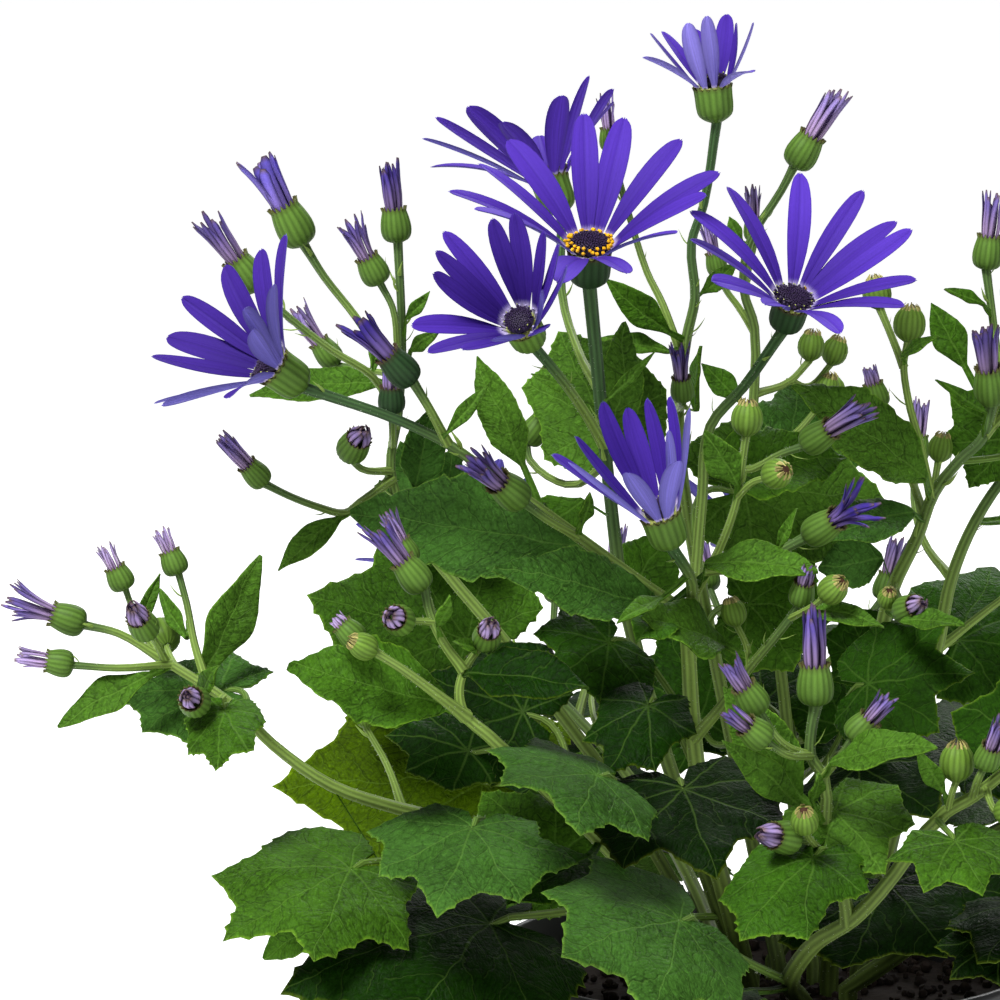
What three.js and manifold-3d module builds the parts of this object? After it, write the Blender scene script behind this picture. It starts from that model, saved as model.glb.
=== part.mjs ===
// A florist cineraria (Pericallis) in a plain round nursery pot, in millimetres, +Z up.
// The origin is the centre of the pot's flat underside. Leafy shoots stand in plain holes in the soil and carry
// lobed leaves, half-open tufts of rolled ray florets, buds and open blooms.
import * as THREE from "three";
import { mergeVertices } from "three/addons/utils/BufferGeometryUtils.js";
import Module from "manifold-3d";

const wasm = await Module();
wasm.setup();

// Pot and soil
const POT_HEIGHT = 120;
const POT_BASE_RADIUS = 51;
const POT_NECK_RADIUS = 66;
const RIM_RADIUS = 70;
const RIM_DEPTH = 11;
const POT_WALL = 1.6;
const POT_FLOOR = 3;
const POT_EDGE_CUT = 1;
const RIM_EDGE_CUT = 0.8;
const RIM_LIP = 0.6;
const POT_SIDES = 18;
const DRAIN_HOLES = 4;
const DRAIN_HOLE_RADIUS = 4;
const DRAIN_CIRCLE_RADIUS = 36;
const DRAIN_HOLE_SIDES = 8;
const SOIL_TOP = 108;
const SOIL_EDGE_CUT = [2, 1];
const SOIL_WALL_GAP = 0.5;
const GAP = 0.3;
const ROOT_DEPTH = 11;
const HOLE_WIDENING = 1.25;

// Plant
const STEM_SIDES = 5;
const BLADE_THICKNESS = 0.8;
const BLADE_KEEL = 1.1;
const STALK_REACH_BEHIND = 0.4;
const STALK_DROP = 0.45;
const LONG_STALK = 24;
const STALK_RADIUS = 0.8;
const STALK_RADIUS_PER_WIDTH = 0.011;
const PETAL_RING_RADIUS = 4.2;
const PETAL_HALF_WIDTH = 3.3;
const PETAL_WIDEST = 0.66;
const SECTOR = 0.46;
const HUB_THICKNESS = 0.9;
const WIDE_OPENING = 42;
const DISC_SIDES = 6;
const DISC_RISE = 0.35;
const DISC_TIP = 2.5;
const TUFT_LENGTH = 11;
const TUFT_STRAPS = 5;
const TUFT_TIP_RADIUS = 2.6;
const TUFT_LENGTH_SPREAD = 0.24;
const SPLIT_FROM = 0.55;
const SPLIT_MIDDLE = 0.5;
const SMALL_TUFT = [1.9, 2.6];
const RANDOM_SEED = 7;

// Cups of green bracts as [height, radius] along the head's axis, for a head of size 1
const CUPS = {
  tuft: [[1.8, 3.4], [7.4, 3.0]],
  bud: [[3.4, 3.6], [8.4, 1.5]],
  bloom: [[2.2, 4.5], [8.4, 4.9]],
};

// A tuft's straps, before they part, as [share of the length, outer radius, inner radius] for a head of size 1
const TUFT_LEVELS = [[0, 2.3, 1.6], [SPLIT_FROM, 2.7, 1.5]];

// A disc as [height, radius, rise of every other floret], narrow inside steep petals and wide in open ones
const DISCS = {
  narrow: [[0, 3.1, 0], [1.7, 3.4, 0.7], [2.3, 2.0, -0.5]],
  wide: [[0, 3.6, 0], [1.7, 4.7, 0.7], [2.3, 2.8, -0.5]],
};

// The blades of long leaves as [share of the length, share of the width]
const BLADE_OUTLINES = {
  oval: [[0, 0.12], [0.26, 0.94], [0.36, 0.86], [0.52, 0.96], [0.78, 0.6], [1, 0]],
  lance: [[0, 0.16], [0.4, 1], [1, 0]],
};

// A lobed blade's half outline round the end of its stalk as [degrees from the tip, share of the length]
const LOBED_OUTLINE = [[0, 1], [21, 0.76], [42, 0.9], [64, 0.68], [88, 0.8], [132, 0.56]];
const LOBED_WIDTH = 1.52;
const NOTCH = 0.1;
const NOTCH_HALF_WIDTH = 0.75;

// Shoots. A stem is [name, parent, place on the parent from 0 to 1, radius at its foot, radius at its end,
// points, head]; a head is [kind, size, aim] and for a bloom its name. A leaf is [kind, stem, place on the stem,
// start of the blade, tip, the way its upper side looks, width, arch]. Points are [x, y, z] in millimetres.
const SHOOTS = {
  "left_trailer": {
    "stems": [
      ["trailer", "", 0, 2.4, 1.4,
        [[-18, -8, 112], [-33, -34, 133], [-72, -52, 162], [-92, -56, 168], [-108, -58, 174],
          [-122, -58, 184], [-131, -57, 193], [-149, -52, 204]],
        []],
      ["trailer_a", "trailer", 1, 1.2, 1.0,
        [[-159, -52, 210], [-167, -52, 212]],
        ["tuft", 1.04, [-0.94, 0.0, 0.33]]],
      ["trailer_b", "trailer", 0.98, 1.2, 0.9,
        [[-159, -60, 203], [-169, -62, 204]],
        ["tuft", 0.81, [-0.99, 0.0, 0.16]]],
      ["trailer_c", "trailer", 0.99, 1.1, 0.8,
        [[-151, -64, 212]],
        ["tuft", 1.0, [-0.25, -0.74, 0.62]]],
      ["trailer_d", "trailer", 1, 1.1, 0.8,
        [[-154, -45, 210], [-157, -42, 216], [-158, -42, 219]],
        ["tuft", 0.76, [-0.43, 0.0, 0.9]]],
      ["trailer_e", "trailer", 0.91, 1.3, 0.9,
        [[-141, -50, 207], [-143, -46, 216], [-145, -44, 223]],
        ["tuft", 0.75, [-0.38, 0.15, 0.91]]],
    ],
    "leaves": [
      ["lance", "trailer", 0.93, [-139, -50, 200], [-125, -46, 228], [0.6, -1, 0.4], 12, 0.12],
      ["lance", "trailer", 0.98, [-151, -58, 201], [-173, -62, 189], [0.2, -1, 0.9], 9.5, 0.2],
      ["lobed", "trailer", 0.82, [-135, -46, 195], [-160, -36, 191], [0.1, -0.75, 1], 31, 0.15],
      ["lobed", "trailer", 0.82, [-133, -68, 194], [-134, -86, 183], [-0.1, -1, 0.7], 19, 0.2],
      ["lobed", "trailer", 0.22, [-103, -74, 157], [-132, -98, 145], [-0.15, -1, 1], 42, 0.22],
      ["lobed", "trailer", 0.18, [-70, -66, 142], [-119, -90, 131], [-0.1, -1, 1.2], 62, 0.3],
      ["lobed", "trailer", 0.28, [-74, -84, 169], [-82, -108, 153], [-0.1, -0.9, 1], 46, 0.25],
      ["oval", "trailer", 0.57, [-94, -50, 149], [-125, -48, 129], [0, -1, 1], 17, 0.2],
    ],
  },
  "left_front": {
    "stems": [
      ["front", "", 0, 2.4, 1.2,
        [[-9, -16, 112], [-34, -60, 151], [-70, -84, 191], [-76, -86, 197], [-77, -86, 202],
          [-76, -86, 207]],
        []],
      ["front_a", "front", 1, 1.4, 1.1,
        [[-81, -86, 214], [-84, -86, 221], [-85, -86, 226]],
        ["tuft", 1.06, [-0.61, 0.0, 0.79]]],
      ["front_b", "front_a", 0.5, 1.0, 0.9,
        [[-85, -74, 224], [-88, -70, 230]],
        ["tuft", 0.75, [-0.46, 0.0, 0.89]]],
      ["front_d", "front", 0.57, 1.7, 1.0,
        [[-90, -96, 209], [-96, -97, 213]],
        ["bud", 0.83, [-0.84, -0.26, 0.48]]],
      ["front_f", "front", 1, 1.1, 0.9,
        [[-73, -84, 211], [-71, -84, 213]],
        ["tuft", 0.9, [0.13, -0.8, 0.58]]],
    ],
    "leaves": [
      ["oval", "front", 0.57, [-80, -83, 198], [-117, -86, 208], [-0.1, -1, 0.8], 22, 0.15],
      ["oval", "front", 0.97, [-75, -90, 207], [-47, -98, 205], [0.1, -1, 1], 15, 0.2],
      ["lobed", "front", 0.33, [-45, -96, 184], [-68, -118, 185], [-0.3, -1, 1.1], 40, 0.2],
      ["lobed", "front", 0.38, [-75, -66, 184], [-95, -62, 187], [0.1, -1, 0.9], 22, 0.2],
      ["lobed", "front", 0.3, [-62, -48, 190], [-87, -42, 198], [0, -1, 0.8], 40, 0.1],
      ["oval", "front", 0.26, [-46, -78, 161], [-66, -92, 152], [-0.1, -0.8, 1.2], 18, 0.2],
    ],
  },
  "main": {
    "stems": [
      ["main", "", 0, 3.2, 2.1,
        [[-5, -6, 112], [-9, -20, 130], [-15, -30, 152], [-19, -36, 171], [-21, -40, 189], [-22, -43, 204],
          [-23, -45, 214]],
        []],
      ["main_a", "main", 1, 1.9, 1.3,
        [[-34, -48, 222], [-58, -51, 240], [-68, -51, 247], [-79, -50, 255], [-91, -50, 261],
          [-114, -50, 269]],
        ["bloom", 1.03, [-0.78, -0.25, 0.58], "bloom_3"]],
      ["main_b", "main_a", 0.68, 1.3, 1.1,
        [[-88, -56, 271]],
        ["tuft", 1.19, [-0.66, -0.18, 0.73]]],
      ["main_c", "main_a", 0.27, 1.2, 1.1,
        [[-62, -60, 243]],
        ["tuft", 1.22, [-0.62, -0.53, 0.58]]],
      ["main_d", "main", 1, 1.4, 1.0,
        [[-18, -50, 224], [-14, -53, 233], [-11, -55, 243], [-10, -55, 250], [-9, -55, 258]],
        ["bud", 1.0, [0.06, 0.0, 1.0]]],
      ["main_e", "main_d", 0.62, 1.0, 0.8,
        [[-7, -60, 248], [-4, -62, 249]],
        ["bud", 0.95, [0.46, -0.82, 0.36]]],
      ["main_f", "main", 0.9, 1.8, 1.4,
        [[-22, -60, 224], [-27, -74, 234]],
        ["bloom", 1.0, [-0.32, -0.25, 0.91], "bloom_7"]],
      ["main_g", "main_d", 0.23, 1.5, 1.2,
        [[-9, -58, 227], [-2, -62, 231], [5, -64, 235]],
        ["tuft", 1.25, [0.69, -0.5, 0.53]]],
      ["main_h", "main", 0.81, 1.8, 1.4,
        [[-20, -30, 217], [-18, -22, 238], [-16, -20, 256], [-8, -22, 266], [1, -32, 281]],
        ["bloom", 0.93, [0.22, -0.49, 0.84], "bloom_5"]],
      ["main_i", "main_h", 0.53, 1.2, 1.0,
        [[-8, -26, 246], [1, -33, 251], [6, -35, 253]],
        ["tuft", 1.09, [0.73, -0.4, 0.55]]],
      ["main_j", "main", 0.6, 1.7, 1.1,
        [[-14, -54, 193], [-8, -64, 204], [-1, -70, 214], [3, -72, 220]],
        ["tuft", 0.77, [0.17, -0.28, 0.94]]],
      ["main_k", "main_j", 0.87, 0.9, 0.8,
        [[8, -80, 223]],
        ["bud", 0.9, [0.55, -0.55, 0.63]]],
    ],
    "leaves": [
      ["oval", "main_a", 0.12, [-30, -54, 217], [-69, -66, 228], [-0.1, -1, 0.8], 18, 0.12],
      ["oval", "main_a", 0.23, [-49, -38, 229], [-104, -30, 236], [0, -1, 0.6], 27, 0.1],
      ["oval", "main_a", 0.33, [-62, -46, 250], [-73, -44, 276], [-0.3, -1, 0.2], 10.5, 0.1],
      ["oval", "main_d", 0.2, [-29, -62, 217], [-35, -74, 212], [0.2, -1, 1], 13, 0.2],
      ["oval", "main_d", 0.14, [-19, -66, 229], [7, -76, 229], [0.1, -1, 1], 12, 0.2],
      ["lance", "main_d", 0.59, [-11, -58, 247], [-19, -60, 260], [-0.4, -1, 0.4], 9, 0.1],
      ["oval", "main_h", 0.35, [-18, -14, 243], [19, -2, 246], [0.1, -1, 0.9], 21, 0.15],
      ["lobed", "main_h", 0.3, [-6, 8, 236], [31, 24, 232], [0.1, -1, 0.6], 40, 0.12],
      ["oval", "main_j", 0.55, [-14, -58, 208], [-34, -70, 217], [0, -1, 1], 16, 0.2],
      ["lobed", "main", 0.35, [-24, -72, 176], [-17, -93, 159], [0.1, -1, 0.75], 53, 0.2],
      ["lobed", "main", 0.62, [-41, -36, 205], [-56, -44, 197], [0, -1, 0.9], 34, 0.2],
      ["lobed", "main", 0.5, [-32, -56, 193], [-43, -72, 178], [-0.2, -1, 0.6], 24, 0.25],
    ],
  },
  "centre": {
    "stems": [
      ["centre", "", 0, 2.8, 1.6,
        [[-4, 4, 112], [-13, -2, 133], [-37, -22, 213], [-40, -26, 234], [-46, -34, 292]],
        ["bloom", 1.1, [0.0, -0.41, 0.91], "bloom_1"]],
      ["centre_a", "centre", 0.83, 1.5, 1.3,
        [[-48, -46, 264], [-53, -56, 272], [-60, -63, 281]],
        ["bloom", 0.95, [-0.29, -0.73, 0.62], "bloom_4"]],
      ["centre_b", "centre", 0.89, 1.3, 1.2,
        [[-48, -6, 273], [-52, 14, 286], [-52, 21, 305]],
        ["bloom", 1.0, [-0.32, 0.28, 0.9], "bloom_2"]],
      ["centre_c", "centre", 0.81, 1.1, 1.0,
        [[-51, -8, 240], [-60, 0, 245], [-61, 2, 249]],
        ["tuft", 0.95, [0.57, 0.11, 0.82]]],
    ],
    "leaves": [
      ["lobed", "centre", 0.83, [-41, -12, 255], [-53, 4, 277], [-0.1, -1, 0.3], 33, 0.1],
      ["oval", "centre", 0.82, [-40, -24, 253], [-37, -12, 281], [0.4, -1, 0.2], 12, 0.1],
      ["oval", "centre", 0.75, [-47, -22, 238], [-63, -20, 223], [0, -1, 0.8], 14, 0.2],
      ["lobed", "centre", 0.2, [-53, -30, 150], [-72, -16, 164], [-0.2, -1, 0.8], 40, 0.2],
      ["oval", "centre", 0.52, [-35, -10, 213], [-26, -2, 226], [0.2, -1, 0.5], 17, 0.1],
    ],
  },
  "top": {
    "stems": [
      ["top", "", 0, 2.4, 1.2,
        [[4, 12, 112], [0, 30, 131], [-14, 34, 199], [-20, 30, 231], [-22, 28, 254], [-20, 27, 273],
          [-18, 26, 283], [-19, 25, 297], [-16, 24, 307], [-13, 21, 328]],
        ["bloom", 1.0, [-0.12, -0.06, 0.99], "bloom_6"]],
      ["top_a", "top", 0.52, 1.2, 1.0,
        [[-26, 30, 281], [-30, 37, 289], [-35, 45, 305], [-39, 47, 319]],
        ["tuft", 0.75, [-0.1, 0.0, 1.0]]],
      ["top_b", "top", 0.45, 1.2, 1.0,
        [[-22, -2, 260]],
        ["tuft", 0.81, [-0.08, -0.27, 0.96]]],
    ],
    "leaves": [
      ["lobed", "top", 0.22, [-4, 22, 205], [18, 16, 202], [0.1, -1, 0.45], 34, 0.15],
      ["lobed", "top", 0.17, [-15, 50, 170], [-24, 64, 196], [-0.1, -1, 0.4], 36, 0.1],
    ],
  },
  "back_mid": {
    "stems": [
      ["mid", "", 0, 2.2, 1.1,
        [[13, 16, 112], [11, 48, 133], [7, 52, 175], [2, 50, 212], [-2, 46, 244], [-2, 42, 274],
          [-5, 38, 284], [-4, 34, 296], [4, 31, 310], [7, 30, 316]],
        ["tuft", 1.18, [0.5, -0.09, 0.86]]],
      ["mid_a", "mid", 0.55, 1.1, 0.9,
        [[-6, 46, 279], [-11, 46, 287]],
        ["tuft", 0.75, [-0.24, 0.0, 0.97]]],
      ["mid_c", "mid", 0.49, 1.2, 0.9,
        [[8, 52, 259], [13, 54, 264]],
        ["bud", 0.92, [0.11, 0.0, 0.99]]],
    ],
    "leaves": [
      ["lobed", "mid", 0.41, [9, 60, 240], [25, 76, 251], [0.2, -1, 0.6], 34, 0.1],
      ["lobed", "mid", 0.15, [23, 58, 166], [31, 72, 181], [0.3, -0.8, 0.8], 32, 0.2],
      ["lobed", "mid", 0.2, [2, 66, 172], [-16, 90, 184], [-0.3, -0.5, 1], 42, 0.2],
    ],
  },
  "right": {
    "stems": [
      ["right", "", 0, 2.8, 1.3,
        [[16, 3, 112], [17, -2, 133], [25, -8, 188], [30, -10, 214], [36, -10, 227], [40, -10, 238],
          [46, -10, 246], [52, -10, 252], [54, -10, 260]],
        ["tuft", 1.25, [-0.12, -0.26, 0.96]]],
      ["right_a", "right", 0.61, 1.3, 1.0,
        [[36, -14, 251], [33, -14, 262], [32, -12, 271], [33, -12, 276]],
        ["bud", 1.05, [0.07, 0.0, 1.0]]],
      ["right_b", "right_a", 0.72, 1.1, 1.0,
        [[27, 0, 283]],
        ["bud", 0.95, [-0.2, 0.16, 0.97]]],
      ["right_c", "right", 0.93, 1.4, 1.1,
        [[57, 0, 263], [56, 6, 277], [54, 8, 292]],
        ["tuft", 1.06, [0.1, 0.0, 0.99]]],
      ["right_e", "right", 0.38, 1.2, 0.9,
        [[31, -30, 212], [30, -34, 212]],
        ["tuft", 0.9, [0.45, -0.81, 0.37]]],
      ["right_h", "right", 0.56, 1.2, 1.0,
        [[34, 6, 244], [28, 10, 257]],
        ["tuft", 0.8, [-0.28, 0.0, 0.96]]],
    ],
    "leaves": [
      ["oval", "right", 0.61, [37, -20, 243], [4, -26, 267], [-0.1, -1, 0.9], 20, 0.12],
      ["oval", "right", 0.55, [34, -22, 235], [9, -34, 230], [0.1, -1, 1], 13, 0.15],
      ["lance", "right", 0.97, [48, -2, 269], [40, 4, 284], [-0.3, -1, 0.5], 9, 0.1],
      ["lobed", "right", 0.75, [61, 10, 249], [46, 16, 260], [-0.2, -1, 0.4], 30, 0.1],
      ["lobed", "right", 0.22, [23, -26, 193], [48, -36, 198], [0.1, -1, 0.8], 36, 0.15],
      ["lobed", "right", 0.19, [20, -40, 175], [37, -60, 167], [0.1, -1, 0.8], 42, 0.2],
      ["oval", "right", 0.38, [28, -4, 221], [12, -3, 218], [0, -1, 0.5], 14, 0.1],
      ["lobed", "right", 0.12, [27, -46, 147], [40, -62, 133], [0.2, -1, 0.9], 62, 0.15],
    ],
  },
  "right_back": {
    "stems": [
      ["beyond", "", 0, 2.6, 1.3,
        [[24, 10, 112], [31, 24, 133], [45, 26, 195], [48, 26, 211], [54, 26, 226], [63, 28, 239],
          [76, 32, 251], [89, 33, 299]],
        ["bloom", 1.0, [0.25, -0.31, 0.92], "bloom_8"]],
      ["beyond_a", "beyond", 0.43, 1.3, 1.0,
        [[42, 40, 219], [40, 46, 229], [41, 50, 238]],
        ["tuft", 0.85, [0.08, 0.25, 0.96]]],
      ["beyond_b", "beyond", 0.71, 1.3, 1.0,
        [[71, 12, 243], [81, 6, 251]],
        ["tuft", 0.99, [0.48, -0.22, 0.85]]],
      ["beyond_c", "beyond", 0.86, 1.2, 1.0,
        [[75, 50, 262], [76, 56, 274]],
        ["tuft", 1, [-0.08, 0.22, 0.97]]],
      ["beyond_d", "beyond", 0.28, 1.3, 0.9,
        [[78, 44, 213]],
        ["bud", 0.9, [0.76, 0.17, 0.63]]],
    ],
    "leaves": [
      ["lobed", "beyond", 0.27, [52, 44, 192], [81, 66, 199], [0.2, -0.8, 0.8], 42, 0.2],
      ["lobed", "beyond", 0.24, [29, 38, 187], [22, 44, 202], [-0.1, -1, 0.4], 22, 0.1],
      ["oval", "beyond", 0.57, [62, 40, 224], [90, 56, 227], [0.1, -1, 0.8], 18, 0.2],
      ["lobed", "beyond", 0.2, [55, 66, 159], [77, 100, 163], [0.3, -0.3, 1], 44, 0.2],
    ],
  },
  "front_right": {
    "stems": [
      ["near", "", 0, 2.9, 1.6,
        [[8, -22, 112], [3, -56, 127], [8, -68, 138], [16, -78, 146], [22, -84, 154], [36, -94, 175],
          [42, -96, 179], [50, -98, 186]],
        []],
      ["near_a", "near", 0.41, 2.0, 1.4,
        [[13, -82, 154], [9, -84, 162], [8, -88, 182], [5, -88, 187], [5, -88, 193], [6, -88, 199]],
        ["tuft", 1.2, [-0.03, 0.0, 1.0]]],
      ["near_b", "near_a", 0.67, 1.1, 0.9,
        [[-2, -92, 191], [-7, -92, 198]],
        ["tuft", 0.96, [-0.53, -0.11, 0.84]]],
      ["near_c", "near_a", 0.67, 1.1, 0.9,
        [[-2, -100, 190], [-6, -102, 193]],
        ["tuft", 0.86, [-0.73, -0.25, 0.63]]],
      ["near_g", "near", 0.73, 1.1, 0.8,
        [[37, -98, 180], [38, -98, 183]],
        ["bud", 1.07, [0.03, 0.0, 1.0]]],
      ["near_h", "near", 0.86, 1.2, 0.9,
        [[43, -102, 185], [44, -102, 187]],
        ["tuft", 0.8, [0.26, -0.4, 0.88]]],
      ["near_i", "near", 1, 1.1, 0.9,
        [[59, -98, 196]],
        ["tuft", 0.75, [0.47, 0.0, 0.88]]],
    ],
    "leaves": [
      ["oval", "near_a", 0.51, [9, -96, 187], [32, -112, 194], [0, -1, 1], 11, 0.25],
      ["oval", "near_a", 0.42, [3, -80, 176], [-15, -80, 202], [-0.2, -1, 0.6], 14, 0.1],
      ["lobed", "near_a", 0.32, [5, -98, 165], [-13, -120, 150], [-0.25, -1, 1], 28, 0.2],
      ["lobed", "near_a", 0.32, [11, -84, 173], [22, -96, 160], [0.1, -1, 0.8], 34, 0.2],
      ["lobed", "near", 0.7, [37, -108, 171], [42, -122, 161], [0.2, -1, 0.9], 30, 0.2],
      ["lobed", "near", 0.12, [-26, -102, 151], [-54, -128, 148], [-0.1, -1, 0.9], 51, 0.22],
      ["oval", "near", 0.1, [-8, -80, 129], [-21, -104, 128], [-0.2, -0.8, 1], 16, 0.2],
    ],
  },
  "left_back": {
    "stems": [
      ["upper", "", 0, 2.3, 1.1,
        [[-15, 3, 112], [-24, 4, 137], [-65, 2, 197], [-81, 4, 216], [-91, 5, 229], [-95, 6, 242],
          [-93, 6, 256], [-92, 6, 272], [-93, 6, 299]],
        ["tuft", 1.06, [-0.11, 0.0, 0.99]]],
      ["upper_a", "upper", 0.82, 1.1, 0.9,
        [[-93, -4, 274], [-94, -8, 284], [-97, -8, 290]],
        ["tuft", 0.94, [-0.45, -0.11, 0.89]]],
      ["upper_b", "upper", 0.72, 1.2, 1.0,
        [[-99, -8, 267], [-109, -12, 274], [-119, -14, 282], [-127, -14, 289]],
        ["tuft", 1.19, [-0.57, -0.09, 0.82]]],
      ["upper_c", "upper", 0.78, 1.3, 1.1,
        [[-98, 16, 270], [-104, 20, 279], [-112, 22, 289], [-117, 22, 297]],
        ["tuft", 1.42, [-0.46, -0.08, 0.88]]],
      ["upper_d", "upper", 0.6, 1.3, 1.0,
        [[-102, -10, 236], [-106, -16, 234], [-112, -20, 236], [-119, -22, 239], [-125, -22, 242]],
        ["tuft", 0.88, [-0.64, -0.24, 0.73]]],
    ],
    "leaves": [
      ["oval", "upper", 0.77, [-97, 14, 263], [-131, 20, 259], [0, -1, 0.7], 9.5, 0.2],
      ["lobed", "upper", 0.25, [-76, 20, 196], [-117, 26, 206], [0, -1, 0.6], 58, 0.12],
      ["lobed", "upper", 0.26, [-72, 24, 158], [-127, 40, 154], [0, -1, 0.55], 60, 0.14],
      ["lobed", "upper", 0.42, [-83, 20, 227], [-93, 30, 246], [-0.1, -1, 0.3], 28, 0.1],
      ["oval", "upper", 0.51, [-89, 16, 236], [-85, 14, 257], [0.4, -1, 0.3], 12, 0.1],
    ],
  },
  "back_left": {
    "stems": [
      ["hind_left", "", 0, 2.5, 1.4,
        [[-10, 14, 112], [-17, 60, 125], [-32, 84, 147], [-48, 104, 162], [-62, 118, 174], [-75, 136, 188]],
        ["bloom", 1.0, [-0.3, 0.6, 0.74], "bloom_9"]],
      ["hind_left_a", "hind_left", 0.72, 1.3, 1.0,
        [[-76, 110, 178], [-91, 104, 191]],
        ["tuft", 0.99, [-0.35, -0.11, 0.93]]],
      ["hind_left_b", "hind_left", 0.58, 1.3, 1.0,
        [[-40, 132, 177], [-36, 140, 190]],
        ["tuft", 0.99, [0.1, 0.33, 0.94]]],
    ],
    "leaves": [
      ["lobed", "hind_left", 0.38, [-44, 112, 144], [-68, 152, 148], [-0.4, 0.6, 1], 46, 0.2],
      ["lobed", "hind_left", 0.54, [-34, 132, 160], [-24, 178, 155], [0.2, 0.9, 0.8], 42, 0.2],
      ["lobed", "hind_left", 0.28, [-29, 110, 122], [-39, 160, 97], [-0.2, 0.9, 0.9], 52, 0.25],
      ["oval", "hind_left", 0.72, [-62, 134, 162], [-82, 168, 153], [-0.3, 0.6, 0.9], 17, 0.2],
      ["oval", "hind_left", 0.49, [-51, 128, 144], [-62, 166, 128], [0.1, 0.7, 0.8], 17, 0.2],
    ],
  },
  "back_right": {
    "stems": [
      ["hind_right", "", 0, 2.6, 1.4,
        [[3, 22, 112], [13, 44, 123], [15, 74, 130], [13, 96, 147], [11, 110, 167], [9, 120, 179],
          [6, 136, 193]],
        ["bloom", 1.05, [0.15, 0.62, 0.77], "bloom_10"]],
      ["hind_right_a", "hind_right", 0.64, 1.3, 1.0,
        [[30, 128, 178], [39, 134, 188]],
        ["tuft", 0.94, [0.26, 0.23, 0.94]]],
      ["hind_right_b", "hind_right", 0.61, 1.2, 1.0,
        [[21, 102, 188], [24, 106, 226], [23, 116, 244]],
        ["bud", 1.15, [-0.02, 0.48, 0.88]]],
      ["hind_right_c", "hind_right", 0.56, 1.3, 0.9,
        [[30, 126, 155], [45, 138, 162]],
        ["bud", 0.9, [0.67, 0.38, 0.64]]],
    ],
    "leaves": [
      ["lobed", "hind_right", 0.48, [27, 120, 148], [50, 160, 152], [0.4, 0.6, 1], 48, 0.2],
      ["lobed", "hind_right", 0.61, [8, 136, 159], [4, 182, 154], [-0.2, 0.9, 0.8], 44, 0.2],
      ["lobed", "hind_right", 0.33, [24, 118, 117], [33, 166, 92], [0.1, 0.9, 0.9], 54, 0.25],
      ["oval", "hind_right", 0.74, [17, 134, 174], [37, 164, 174], [0.3, 0.6, 0.9], 17, 0.2],
      ["oval", "hind_right", 0.67, [3, 134, 168], [-13, 166, 165], [-0.3, 0.7, 0.8], 16, 0.2],
    ],
  },
  "far_right": {
    "stems": [
      ["far", "", 0, 2.8, 1.5,
        [[20, -9, 112], [39, -22, 130], [58, -32, 153], [74, -38, 176], [85, -40, 199], [94, -40, 221],
          [98, -38, 240], [103, -45, 262]],
        ["bloom", 1.05, [0.45, -0.45, 0.77], "bloom_11"]],
      ["far_a", "far", 0.57, 1.4, 1.1,
        [[98, -50, 210], [109, -54, 226]],
        ["tuft", 0.99, [0.53, -0.22, 0.82]]],
      ["far_b", "far", 0.71, 1.3, 1.0,
        [[85, -56, 238], [81, -60, 251]],
        ["tuft", 0.94, [-0.32, -0.23, 0.92]]],
      ["far_c", "far", 0.43, 1.4, 1.0,
        [[92, -50, 184], [108, -54, 194], [115, -54, 199]],
        ["tuft", 0.81, [0.73, -0.13, 0.67]]],
    ],
    "leaves": [
      ["lobed", "far", 0.28, [79, -52, 159], [99, -74, 153], [0.3, -1, 0.9], 52, 0.25],
      ["lobed", "far", 0.43, [61, -62, 186], [54, -64, 206], [-0.1, -1, 0.5], 40, 0.1],
      ["lobed", "far", 0.54, [100, -22, 191], [130, -10, 176], [0.5, -0.5, 1], 46, 0.2],
      ["oval", "far", 0.71, [95, -56, 221], [118, -76, 222], [0.2, -1, 1], 18, 0.2],
      ["oval", "far", 0.65, [83, -56, 216], [60, -70, 226], [-0.2, -1, 0.8], 16, 0.15],
      ["lobed", "far", 0.28, [55, -86, 151], [62, -112, 141], [0.2, -1, 1], 38, 0.25],
      ["lobed", "far", 0.2, [50, -92, 145], [37, -100, 136], [-0.3, -0.8, 1], 24, 0.2],
    ],
  },
  "far_back": {
    "stems": [
      ["far_back", "", 0, 2.6, 1.4,
        [[16, 27, 112], [39, 42, 122], [55, 54, 134], [76, 64, 145], [94, 76, 170], [107, 84, 196],
          [115, 88, 220], [122, 101, 250]],
        ["bloom", 1.0, [0.51, 0.3, 0.81], "bloom_12"]],
      ["far_back_a", "far_back", 0.71, 1.3, 1.0,
        [[121, 74, 208], [131, 70, 225]],
        ["tuft", 1, [0.46, -0.11, 0.88]]],
      ["far_back_b", "far_back", 0.81, 1.2, 1.0,
        [[106, 104, 226], [102, 110, 239]],
        ["tuft", 0.92, [-0.23, 0.24, 0.94]]],
    ],
    "leaves": [
      ["lobed", "far_back", 0.43, [96, 96, 142], [129, 132, 137], [0.5, 0.4, 1], 50, 0.2],
      ["lobed", "far_back", 0.38, [72, 100, 138], [74, 150, 131], [0, 0.9, 0.8], 46, 0.2],
      ["lobed", "far_back", 0.21, [74, 90, 107], [103, 120, 89], [0.4, 0.5, 1], 50, 0.25],
      ["oval", "far_back", 0.71, [112, 104, 196], [134, 140, 190], [0.3, 0.6, 0.9], 17, 0.2],
      ["oval", "far_back", 0.69, [111, 76, 195], [142, 70, 193], [0.4, -0.2, 1], 17, 0.2],
    ],
  },
};

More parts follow.
